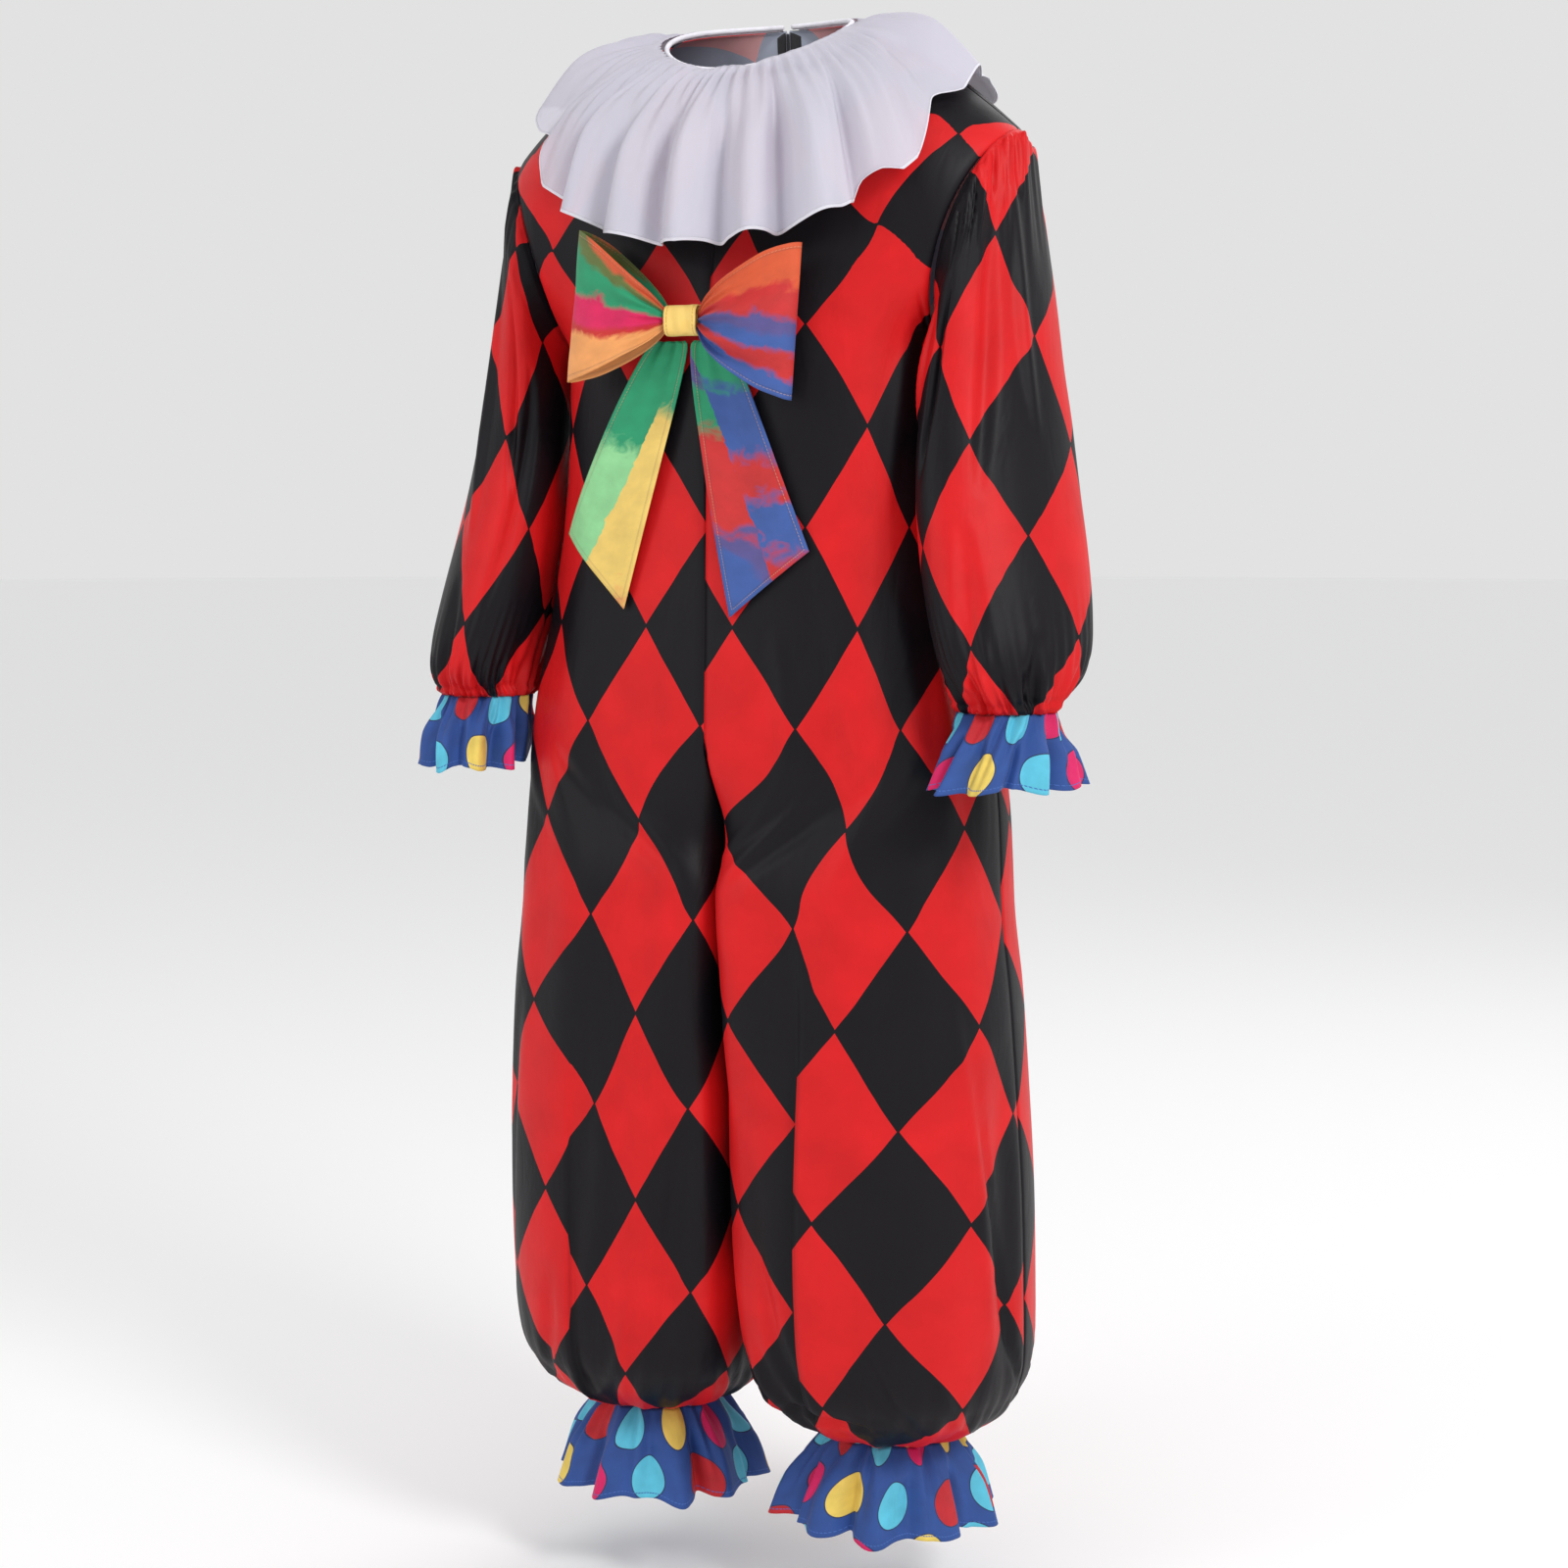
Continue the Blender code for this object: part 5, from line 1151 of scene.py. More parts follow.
def loop_points(hand):
    """A loop of ribbon: the columns run from the front of the knot round the fold to the back of it."""
    tilt = math.radians(LOOP_TILT_DEG[hand])
    side = HANDS[hand]
    places = np.arange(len(LOOP) - 1)
    turn = np.linspace(0, places[-1], LOOP_ALONG)[None, :]
    height = np.linspace(1, -1, LOOP_ACROSS)[:, None]
    size = {name: smooth(places, column(LOOP, name), turn) for name in LOOP[0]}
    out = size["reach"]
    share = out / max(column(LOOP, "reach"))
    front = ease(size["forward"] / LOOP_FLAT_FROM)
    raised = LOOP_PLEAT * np.sin(math.pi * share) * np.cos(math.pi * LOOP_ROWS * (height + 1) / 2)
    fine = np.cos(LOOP_FINE_WAVES * height + 1 + 2 * side + LOOP_FINE_SPREAD * height**2)
    raised = raised + LOOP_FINE * hump(out - LOOP_FINE_REACH, LOOP_FINE_WIDTH) * fine
    sagging = np.sin(math.pi * np.clip((out - LOOP_SAG_FROM) / LOOP_SAG_LENGTH, 0, 1))
    raised = raised + LOOP_SAG * sagging * np.sin(LOOP_SAG_WAVES * height + 2 * side)
    for fold in named(LOOP_FOLDS, hand=hand):
        line = fold["at_knot"] + (fold["at_fold"] - fold["at_knot"]) * share
        width = fold["half_width"] * (LOOP_FOLD_WIDTH + LOOP_FOLD_WIDENS * share)
        growth = ease(share / LOOP_FOLD_START) * (LOOP_FOLD_FADE - share)
        raised = raised + fold["depth"] * hump(height - line, width) * growth
    up = size["rise"] + height * size["half_height"]
    x = out * math.cos(tilt) + up * math.sin(tilt)
    y = -size["forward"] - raised * front
    z = up * math.cos(tilt) - out * math.sin(tilt)
    points = point(KNOT_CENTRE[0] + side * x, KNOT_CENTRE[1] + y, KNOT_CENTRE[2] + z)
    length = np.mean(along(points, 1), axis=0)
    half = max(column(LOOP, "half_height"))
    edge = np.repeat((1 - np.abs(height)) * half, LOOP_ALONG, axis=1)
    return points, pairs(length[None, :], (1 - height) * half), edge


def knot_points():
    turn = (2 * math.pi * np.arange(KNOT_AROUND) / KNOT_AROUND)[None, :]
    place = np.linspace(-1, 1, KNOT_ALONG)[:, None]
    size = 1 - KNOT_END * place**4
    pleat = np.cos(KNOT_PLEATS * place + KNOT_PLEAT_SWAY * np.sin(turn) + KNOT_PLEAT_SHIFT)
    raised = KNOT_PLEAT * pleat * np.maximum(0, np.cos(turn)) - KNOT_WAIST * (1 - place**2)
    y = -(size * KNOT_HALF_DEPTH + raised) * power(np.cos(turn), KNOT_SQUARENESS)
    z = (size * KNOT_HALF_HEIGHT + raised) * power(np.sin(turn), KNOT_SQUARENESS)
    points = point(KNOT_CENTRE[0] + place * KNOT_HALF_WIDTH, KNOT_CENTRE[1] + y, KNOT_CENTRE[2] + z)
    around = np.linspace(0, KNOT_BAND_LENGTH, KNOT_AROUND + 1)[None, :]
    edge = np.repeat((1 - np.abs(place)) * KNOT_HALF_WIDTH, KNOT_AROUND + 1, axis=1)
    return points, pairs(around, (place + 1) * KNOT_HALF_WIDTH), edge


def chest_y(x, z):
    """Where the front panels stand, with their creases."""
    found = np.empty(x.shape)
    for index in np.ndindex(x.shape):
        points = PANELS["front", "left" if x[index] >= 0 else "right"][0]
        heights = -points[:, 0, 2]
        row = np.clip(np.searchsorted(heights, -z[index]) - 1, YOKE_STEPS - CHEST_ROWS, len(heights) - 2)
        near = [np.interp(abs(x[index]), points[r, :, 0], points[r, :, 1]) for r in (row, row + 1)]
        share = (-z[index] - heights[row]) / (heights[row + 1] - heights[row])
        found[index] = near[0] + (near[1] - near[0]) * np.clip(share, 0, 1)
    return found


def tail_points(hand):
    tail = named(TAILS, hand=hand)[0]
    (top_x, top_z), (outer_x, outer_z), (inner_x, inner_z) = tail["top"], tail["outer"], tail["inner"]
    side = HANDS[hand]
    down = np.linspace(0, 1, TAIL_ALONG)[:, None]
    across = np.linspace(0, 1, TAIL_ACROSS)[None, :]
    middle = top_x + ((outer_x + inner_x) / 2 - top_x) * down
    narrow, wide = side * tail["half_top"], (outer_x - inner_x) / 2
    x = middle + (narrow + (wide - narrow) * down**TAIL_SPREAD) * (1 - 2 * across)
    z = top_z + (outer_z + (inner_z - outer_z) * across - top_z) * down
    ripple = TAIL_RIPPLE * np.sin(math.pi * down) * np.cos(2 * math.pi * across)
    ripple = ripple + TAIL_PLEAT * np.exp(-down / TAIL_PLEAT_REACH) * np.cos(TAIL_PLEATS * across + 1 + side)
    wave = np.sin(TAIL_WAVES * math.pi * down + 2 * side) * np.sin(math.pi * across)
    ripple = ripple + TAIL_WAVE * wave
    away = TAIL_STAND_OFF + TAIL_TOP_STAND_OFF * (1 - down)
    points = point(x, chest_y(np.broadcast_to(x, z.shape), z) - away - ripple, z)
    wide, long = along(points, 1), along(points, 0)
    edge = np.minimum(np.minimum(wide, wide[:, -1:] - wide), long[-1:] - long)
    return points, pairs(wide, long), edge


# ==== Zip and label ==================================================================================
ZIP_TOP_Z = 0.0164
ZIP_FOOT_Z = -0.520
ZIP_TAPE_GAP = 0.0022
ZIP_TAPE_WIDTH = 0.0103
ZIP_TAPE = 0.0008
ZIP_STAND_OFF = 0.0006  # between the cloth's inner face and the tape
ZIP_ROWS = 220
TOOTH_PITCH = 0.00135
TOOTH_RADIUS = 0.00052
TOOTH_SIDES = 6
TOOTH_HEIGHT = 1.25  # of its width
TOOTH_RINGS = [("x", "size"), (-0.0019, 0.55), (-0.0015, 1.0), (0.0, 0.85), (0.0006, 1.15), (0.0011, 0.6)]
LABEL_X = (0.0165, 0.0295)
LABEL_Z = (-0.0545, -0.0300)  # its ends, where its near edge runs
LABEL_STAND_OFF = 0.0012
LABEL_CURL = 0.0010
LABEL_CURL_EVEN = 0.6
LABEL_COLUMNS = 14
LABEL_ROWS = 20
TAPE_COLUMNS = 7
LABEL_THICKNESS = 0.0008


def inside_strip(low_x, high_x, columns, low_z, high_z, rows, depth):
    """A strip down the inside of the left back, between two distances from the centre back."""
    panel = PANELS["back", "left"][0]
    x = np.linspace(low_x, high_x, columns)
    lines = [point(x, *(np.interp(x, row[:, 0], row[:, axis]) for axis in (1, 2))) for row in panel]
    lines = np.array([line for line, row in zip(lines, panel) if row[0, 0] < low_x + ZIP_STAND_OFF])
    heights, below = -np.linspace(high_z, low_z, rows), -lines[:, 0, 2]
    strip = np.empty((rows, columns, 3))
    for place, axis in np.ndindex(columns, 3):
        strip[:, place, axis] = np.interp(heights, below, lines[:, place, axis])
    out = facing(strip)
    out = out * np.sign(out[..., 1:2])
    return strip - out * (SATIN + depth)


def tape_points():
    """The tape's outer face."""
    far_x = ZIP_TAPE_GAP + ZIP_TAPE_WIDTH
    strip = inside_strip(ZIP_TAPE_GAP, far_x, TAPE_COLUMNS, ZIP_FOOT_Z, ZIP_TOP_Z, ZIP_ROWS, ZIP_STAND_OFF)
    return strip, pairs(along(strip, 1), along(strip, 0))


def label_points():
    strip = inside_strip(*LABEL_X, LABEL_COLUMNS, *LABEL_Z, LABEL_ROWS, LABEL_STAND_OFF)
    down = np.linspace(0, 1, LABEL_ROWS)[:, None]
    across = np.linspace(0, 1, LABEL_COLUMNS)[None, :]
    curl = LABEL_CURL_EVEN + (1 - LABEL_CURL_EVEN) * np.sin(3 * across + 1)
    strip[..., 1] -= LABEL_CURL * ease(2 * down - 1) * curl
    long = along(strip, 0)
    return strip, pairs(along(strip, 1), long), np.minimum(long, long[-1:] - long)


def zip_teeth(cloth):
    """The coil's loops: short rounded bars in two rows that mesh down the centre back."""
    spine = inside_strip(0.0, ZIP_TAPE_GAP, 3, ZIP_FOOT_Z, ZIP_TOP_Z, ZIP_ROWS, ZIP_STAND_OFF)[:, 0]
    run = along(spine[:, None], 0)[:, 0]
    turn = 2 * math.pi * np.arange(TOOTH_SIDES) / TOOTH_SIDES
    ahead = unit(np.gradient(spine, axis=0))
    points, faces = [], []
    for index, place in enumerate(np.arange(TOOTH_PITCH, run[-1] - TOOTH_PITCH, TOOTH_PITCH / 2)):
        side = 1 if index % 2 else -1
        middle = np.array([np.interp(place, run, spine[:, axis]) for axis in range(3)])
        down = np.array([np.interp(place, run, ahead[:, axis]) for axis in range(3)])
        inward = unit(np.cross((1.0, 0.0, 0.0), down))
        inward = inward * -np.sign(inward[1])
        start = len(points)
        around = np.cos(turn)[:, None] * down + TOOTH_HEIGHT * np.sin(turn)[:, None] * inward
        for ring, (x, size) in enumerate(TOOTH_RINGS[1:]):
            centre = middle + np.array([side * -x, 0, 0]) + inward * TOOTH_RADIUS
            points.extend(centre + TOOTH_RADIUS * size * around)
            if ring == 0:
                continue
            old, new = start + (ring - 1) * TOOTH_SIDES, start + ring * TOOTH_SIDES
            for k in range(TOOTH_SIDES):
                after = (k + 1) % TOOTH_SIDES
                faces.append((old + k, old + after, new + after, new + k)[::side])
        last = start + (len(TOOTH_RINGS) - 2) * TOOTH_SIDES
        faces.append(tuple(range(start, start + TOOTH_SIDES))[::-side])
        faces.append(tuple(range(last, last + TOOTH_SIDES))[::side])
    mesh = bpy.data.meshes.new("zip_teeth")
    mesh.from_pydata([tuple(place) for place in points], [], faces)
    mesh.shade_smooth()
    mesh.materials.append(cloth)
    return link("zip_teeth", mesh)


# ==== Materials ======================================================================================
DIAMOND_WIDTH = 2 * HALF_DIAMOND
DIAMOND_HEIGHT = 0.187
DIAMOND_DOWN = 0.0735  # from the underarm level to a corner of the pattern's column 0
OUTLINE = 0.0085  # half of the dark line between diamonds, as a share of a diamond's side
RED = (0.600, 0.0110, 0.0130, 1.0)
BLACK = (0.0060, 0.0048, 0.0068, 1.0)
WRONG_RED = (0.800, 0.420, 0.430, 1.0)
WRONG_BLACK = (0.400, 0.440, 0.540, 1.0)
BINDING_WHITE = (0.84, 0.82, 0.89, 1)
LABEL_WHITE = (0.86, 0.86, 0.84, 1)
SATIN_SHINE = 0.16
SATIN_WANDER = 0.006  # of the printed pattern, in metres
SATIN_FLOATS = (2600.0, 260.0)  # long threads to a metre, across and down
SATIN_SOFT = (26.0, 9.0)  # soft unevenness to a metre, across and down
SATIN_RELIEF = 0.0016
FLOATS_HEIGHT = 0.05
FLOATS_ROUGHNESS = 0.10
WRONG_SIDE_ROUGHNESS = 0.62
STITCH_LENGTH = 0.68  # of its pitch
SHADE_RANGE = 0.5  # between a cloth's darkest and lightest places
THREADS = [  # of each woven cloth to a metre, and how often to a metre its surface is uneven
    ("cloth", "count", "height", "soft_across", "soft_down", "relief"),
    ("cotton", 1500.0, 0.06, 90.0, 24.0, 0.0010),
    ("voile", 1100.0, 0.05, 120.0, 22.0, 0.0009),
    ("plain", 1400.0, 0.08, 420.0, 160.0, 0.0006),
    ("ribbon", 1300.0, 0.07, 30.0, 70.0, 0.0011),
    ("knot", 1300.0, 0.07, 40.0, 160.0, 0.0011),
]
STITCHES = [  # the row of stitches beside each cloth's finished edge
    ("cloth", "inset", "pitch", "half_width"),
    ("cotton", 0.0045, 0.0032, 0.00045),
    ("voile", 0.0020, 0.0024, 0.0003),
    ("ribbon", 0.0042, 0.0034, 0.0004),
    ("knot", 0.0030, 0.0030, 0.0004),
]


class Cloth:
    """One material and short ways to add nodes to it. Places on the cloth are in metres."""

    def __init__(self, name, roughness, sheen=0.0, sheen_roughness=0.4):
        self.material = bpy.data.materials.new(name)
        self.material.use_nodes = True
        self.tree = self.material.node_tree
        self.shader = self.tree.nodes["Principled BSDF"]
        self.look("Roughness", roughness)
        self.look("Sheen Weight", sheen)
        self.look("Sheen Roughness", sheen_roughness)

    def look(self, name, value):
        self.put(value, self.shader.inputs[name])

    def add(self, kind, inputs=(), **settings):
        node = self.tree.nodes.new(kind)
        for name, value in settings.items():
            setattr(node, name, value)
        for name, value in dict(inputs).items():
            self.put(value, node.inputs[name])
        return node

    def put(self, value, socket):
        if isinstance(value, bpy.types.NodeSocket):
            self.tree.links.new(value, socket)
        else:
            socket.default_value = value

    def math(self, operation, *values):
        node = self.add("ShaderNodeMath", operation=operation)
        for place, value in enumerate(values):
            self.put(value, node.inputs[place])
        return node.outputs[0]

    def total(self, *values):
        result = values[0]
        for value in values[1:]:
            result = self.math("ADD", result, value)
        return result

    def scaled(self, value, size):
        return self.math("MULTIPLY", value, size)

    def centred(self, value):
        return self.math("SUBTRACT", value, 0.5)

    def mix(self, share, first, second):
        node = self.add("ShaderNodeMix", data_type="RGBA")
        self.put(share, node.inputs[0])
        self.put(first, node.inputs[6])
        self.put(second, node.inputs[7])
        return node.outputs[2]

    def place(self, title):
        flat = self.add("ShaderNodeUVMap", uv_map=title).outputs[0]
        parts = self.add("ShaderNodeSeparateXYZ", {"Vector": flat})
        return flat, parts.outputs[0], parts.outputs[1]

    def stretched(self, u, v, across, down):
        x, y = self.scaled(u, across), self.scaled(v, down)
        return self.add("ShaderNodeCombineXYZ", {"X": x, "Y": y}).outputs[0]

    def noise(self, vector, scale, detail=2.0, distortion=0.0):
        inputs = {"Vector": vector, "Scale": scale, "Detail": detail, "Distortion": distortion}
        return self.add("ShaderNodeTexNoise", inputs).outputs[0]

    def band(self, value, low, high):
        """1 where value lies between low and high."""
        above = self.math("GREATER_THAN", value, low)
        return self.scaled(above, self.math("LESS_THAN", value, high))

    def ramp(self, value, stops, interpolation="LINEAR"):
        node = self.add("ShaderNodeValToRGB", {"Fac": value})
        node.color_ramp.interpolation = interpolation
        elements = node.color_ramp.elements
        while len(elements) < len(stops):
            elements.new(0.5)
        for element, (place, colour) in zip(elements, stops):
            element.position = place
            element.color = (*colour, 1.0)
        return node.outputs[0]

    def shaded(self, colour, share):
        """The colour, darker where share is below a half and lighter above it."""
        value = self.total(self.scaled(share, SHADE_RANGE), 1 - SHADE_RANGE / 2)
        node = self.add("ShaderNodeHueSaturation", {"Value": value, "Color": colour})
        return node.outputs[0]

    def relief(self, height, distance):
        node = self.add("ShaderNodeBump", {"Height": height, "Distance": distance, "Strength": 1.0})
        self.look("Normal", node.outputs[0])

    def weave(self, u, v, across, down):
        """Crossing threads, so many to a metre."""
        warp = self.math("SINE", self.scaled(u, 2 * math.pi * across))
        weft = self.math("SINE", self.scaled(v, 2 * math.pi * down))
        return self.scaled(self.scaled(warp, weft), 0.5)

    def woven(self, kind, *more):
        """A woven cloth's relief: its threads, its soft unevenness and more heights over them."""
        cloth = named(THREADS, cloth=kind)[0]
        _, u, v = self.place("cut")
        threads = self.scaled(self.weave(u, v, cloth["count"], cloth["count"]), cloth["height"])
        stretched = self.stretched(u, v, cloth["soft_across"], cloth["soft_down"])
        soft = self.noise(stretched, scale=1.0, detail=3.0)
        self.relief(self.total(threads, soft, *more), cloth["relief"])
        return threads

    def stitches(self, kind):
        row = named(STITCHES, cloth=kind)[0]
        _, run, depth = self.place("edge")
        aside = self.math("ABSOLUTE", self.math("SUBTRACT", depth, row["inset"]))
        dash = self.math("FRACT", self.scaled(run, 1 / row["pitch"]))
        line = self.math("LESS_THAN", aside, row["half_width"])
        return self.scaled(line, self.math("LESS_THAN", dash, STITCH_LENGTH))


def diamonds(cloth, u, v, down, first, second):
    """Standing diamonds in two colours, with a thin dark line between them."""
    x = cloth.scaled(u, 1 / DIAMOND_WIDTH)
    y = cloth.scaled(cloth.math("SUBTRACT", v, down), 1 / DIAMOND_HEIGHT)
    rising, falling = cloth.math("ADD", x, y), cloth.math("SUBTRACT", x, y)
    cells = cloth.math("ADD", cloth.math("FLOOR", rising), cloth.math("FLOOR", falling))
    odd = cloth.math("FLOORED_MODULO", cells, 2.0)
    even = cloth.math("SUBTRACT", 1.0, odd)
    edge = cloth.math("MINIMUM", *(cloth.math("PINGPONG", side, 0.5) for side in (rising, falling)))
    line = cloth.math("LESS_THAN", edge, OUTLINE)
    return cloth.mix(cloth.math("MAXIMUM", even, line), first, second)


def satin(name, down, first=RED, second=BLACK, roughness=0.46):
    cloth = Cloth(name, roughness)
    cloth.look("Specular IOR Level", SATIN_SHINE)
    flat, u, v = cloth.place("cut")
    wander = cloth.scaled(cloth.centred(cloth.noise(flat, scale=11.0)), SATIN_WANDER)
    colour = diamonds(cloth, cloth.total(u, wander), v, down, first, second)
    cloth.look("Base Color", cloth.shaded(colour, cloth.noise(flat, scale=17.0, detail=4.0)))
    floats = cloth.noise(cloth.stretched(u, v, *SATIN_FLOATS), scale=1.0, detail=1.0)
    soft = cloth.noise(cloth.stretched(u, v, *SATIN_SOFT), scale=1.0, detail=3.0, distortion=0.6)
    cloth.relief(cloth.total(cloth.scaled(floats, FLOATS_HEIGHT), soft), SATIN_RELIEF)
    even = roughness - FLOATS_ROUGHNESS / 2
    cloth.look("Roughness", cloth.total(cloth.scaled(floats, FLOATS_ROUGHNESS), even))
    return cloth.material


DOT_ACROSS = 0.066
DOT_DOWN = 0.050
DOT_RADIUS = 0.0192
DOT_LINE = 0.0011
DOT_STRAY_X = 0.010
DOT_STRAY_Y = 0.008
DOT_SHIFT_DOWN = 0.3
DOT_RING_SHARE = 0.8
DOT_PICK = 0.05  # how far into a colour's stretch of the ramp it is picked
COTTON_HEM_SINK = -0.4
BLUE = (0.017, 0.066, 0.270, 1.0)
DARK_BLUE = (0.012, 0.020, 0.060, 1.0)
PALE_BLUE = (0.045, 0.13, 0.45, 1.0)
DOT_COLOURS = [
    (0.0, (0.090, 0.490, 0.660)),
    (0.2, (0.480, 0.010, 0.018)),
    (0.4, (0.090, 0.490, 0.660)),
    (0.6, (0.760, 0.560, 0.110)),
    (0.8, (0.620, 0.004, 0.110)),
]


def dotted(name, shift):
    """Cotton with rows of dots. shift moves the rows along and down, and strays the dots anew."""
    cloth = Cloth(name, roughness=0.72, sheen=0.06)
    flat, u, v = cloth.place("cut")
    y = cloth.scaled(cloth.total(v, shift * DOT_SHIFT_DOWN), 1 / DOT_DOWN)
    line = cloth.math("FLOOR", y)
    stagger = cloth.scaled(cloth.math("FLOORED_MODULO", line, 2.0), 0.5)
    x = cloth.total(cloth.scaled(u, 1 / DOT_ACROSS), stagger, shift)
    place = cloth.math("FLOOR", x)
    cell = cloth.add("ShaderNodeCombineXYZ", {"X": place, "Y": line, "Z": shift}).outputs[0]
    chance = cloth.add("ShaderNodeTexWhiteNoise", {"Vector": cell}).outputs[1]
    stray = cloth.add("ShaderNodeSeparateXYZ", {"Vector": chance}).outputs
    squares = []
    ways = ((x, DOT_ACROSS, stray[0], DOT_STRAY_X), (y, DOT_DOWN, stray[1], DOT_STRAY_Y))
    for at, pitch, off, most in ways:
        aside = cloth.scaled(cloth.centred(cloth.math("FRACT", at)), pitch)
        aside = cloth.total(aside, cloth.scaled(cloth.centred(off), most))
        squares.append(cloth.math("POWER", aside, 2.0))
    reach = cloth.math("SQRT", cloth.total(*squares))
    pick = cloth.math("FLOORED_MODULO", cloth.total(place, cloth.scaled(line, 2.0)), len(DOT_COLOURS))
    dot = cloth.ramp(cloth.total(cloth.scaled(pick, 1 / len(DOT_COLOURS)), DOT_PICK), DOT_COLOURS, "CONSTANT")
    colour = cloth.mix(cloth.math("LESS_THAN", reach, DOT_RADIUS), BLUE, dot)
    ring = cloth.band(reach, DOT_RADIUS, DOT_RADIUS + DOT_LINE)
    colour = cloth.mix(cloth.scaled(ring, DOT_RING_SHARE), colour, DARK_BLUE)
    hem = cloth.stitches("cotton")
    colour = cloth.mix(hem, colour, PALE_BLUE)
    cloth.look("Base Color", cloth.shaded(colour, cloth.noise(flat, scale=60.0, detail=4.0)))
    cloth.woven("cotton", cloth.scaled(hem, COTTON_HEM_SINK))
    return cloth.material


VOILE_SHADES = ((0.66, 0.635, 0.735, 1.0), (0.72, 0.70, 0.79, 1.0))
VOILE_HEM = (0.76, 0.745, 0.82, 1.0)
VOILE_HEM_WIDTH = 0.0026
VOILE_HEM_RISE = 0.5
VOILE_STITCH_SINK = -0.4
VOILE_COVER = 0.66  # how much of what is behind it the voile hides


def voile():
    cloth = Cloth("white_voile", roughness=0.62, sheen=0.08, sheen_roughness=0.5)
    flat = cloth.place("cut")[0]
    hem = cloth.math("LESS_THAN", cloth.place("edge")[2], VOILE_HEM_WIDTH)
    colour = cloth.mix(cloth.noise(flat, scale=8.0, detail=3.0), *VOILE_SHADES)
    cloth.look("Base Color", cloth.mix(hem, colour, VOILE_HEM))
    stitch = cloth.scaled(cloth.stitches("voile"), VOILE_STITCH_SINK)
    threads = cloth.woven("voile", cloth.scaled(hem, VOILE_HEM_RISE), stitch)
    cloth.look("Alpha", cloth.math("MAXIMUM", cloth.total(threads, VOILE_COVER), hem))
    return cloth.material


def plain_white(name, colour):
    cloth = Cloth(name, roughness=0.68, sheen=0.12)
    cloth.look("Base Color", cloth.shaded(colour, cloth.noise(cloth.place("cut")[0], scale=70.0, detail=3.0)))
    cloth.woven("plain")
    return cloth.material


ORANGE = (0.640, 0.090, 0.024)
SCARLET = (0.520, 0.016, 0.016)
GREEN = (0.010, 0.290, 0.130)
OLIVE = (0.110, 0.150, 0.030)
MINT = (0.260, 0.620, 0.280)
MAGENTA = (0.640, 0.004, 0.090)
PEACH = (0.800, 0.330, 0.100)
YELLOW = (0.800, 0.560, 0.140)
VIOLET = (0.085, 0.070, 0.240)
INDIGO = (0.035, 0.090, 0.320)
DYES = {  # each ribbon's dyes and where each begins along the run of its dyes
    "bow_loop_right": [
        (0.00, ORANGE), (0.13, OLIVE), (0.24, GREEN), (0.44, MAGENTA), (0.63, SCARLET), (0.70, PEACH),
    ],
    "bow_loop_left": [
        (0.00, ORANGE), (0.24, SCARLET), (0.42, VIOLET), (0.53, INDIGO), (0.66, SCARLET), (0.80, INDIGO),
    ],
    "bow_tail_right": [(0.00, GREEN), (0.34, MINT), (0.80, GREEN)],
    "bow_tail_left": [
        (0.00, GREEN), (0.14, INDIGO), (0.34, SCARLET), (0.46, INDIGO), (0.62, SCARLET), (0.70, INDIGO),
    ],
}
INNER_DYES = {  # the dyes of the tails' inner halves
    "bow_tail_right": [(0.00, GREEN), (0.24, YELLOW), (0.84, PEACH)],
    "bow_tail_left": [(0.00, VIOLET), (0.16, GREEN), (0.28, SCARLET), (0.58, VIOLET), (0.70, INDIGO)],
}
DYE_EDGE = 0.05  # how softly one dye meets the next
DYE_HALVES = 0.043  # from a tail's outer edge to where its halves meet
DYE_RUNS = [  # how fast the dyes change along and across each ribbon, and where they start
    ("ribbon", "along", "across", "start"),
    ("bow_loop_right", 0.8, 6.4, 0.02),
    ("bow_loop_left", -0.9, 6.6, 0.10),
    ("bow_tail_right", 0.9, 2.9, 0.02),
    ("bow_tail_left", 1.2, 2.9, 0.00),
]
DYE_WANDER = 0.30
DYE_BLEED = 0.09
DYE_SHIFT = -0.23  # as the wander and the bleed only add to the run
HALVES_WANDER = 0.016
HALVES_BLEED = 0.006
HALVES_MEAN = 0.011  # of the two together
TURNED_EDGE = (0.0050, 0.0058)  # where the ribbon's turned edge ends, from its fold; a thin line of painted shade is laid there
# painted shade: the dark colour of the turned edge's step, and the share of it mixed into the dye
TURNED_EDGE_PAINTED_SHADE = (0.05, 0.04, 0.04, 1.0)
TURNED_PAINTED_SHADE_SHARE = 0.18
TURNED_SINK = -0.3
RIBBON_THREAD = (0.74, 0.42, 0.24, 1.0)
RIBBON_THREAD_SHARE = 0.4
RIBBON_STITCH_SINK = -0.45
KNOT_YELLOWS = ((0.84, 0.52, 0.105, 1.0), (0.88, 0.66, 0.21, 1.0))
KNOT_THREAD = (0.60, 0.33, 0.07, 1.0)
KNOT_STITCH_SINK = -0.5
TAPE_BLACKS = ((0.014, 0.014, 0.016, 1.0), (0.030, 0.029, 0.033, 1.0))
TAPE_THREADS = (900.0, 600.0)
COIL_BLACKS = ((0.012, 0.012, 0.013, 1), (0.028, 0.027, 0.030, 1))
ENAMEL_BLACK = (0.020, 0.020, 0.022, 1)
RUBBED_METAL = (0.16, 0.155, 0.15, 1)


def dye_stops(dyes):
    """Each dye holds its colour until just before the next one begins."""
    stops = []
    ends = [start - DYE_EDGE for start, _ in dyes[1:]] + [1.0]
    for (start, colour), end in zip(dyes, ends):
        stops += [(start, colour), (end, colour)]
    return stops


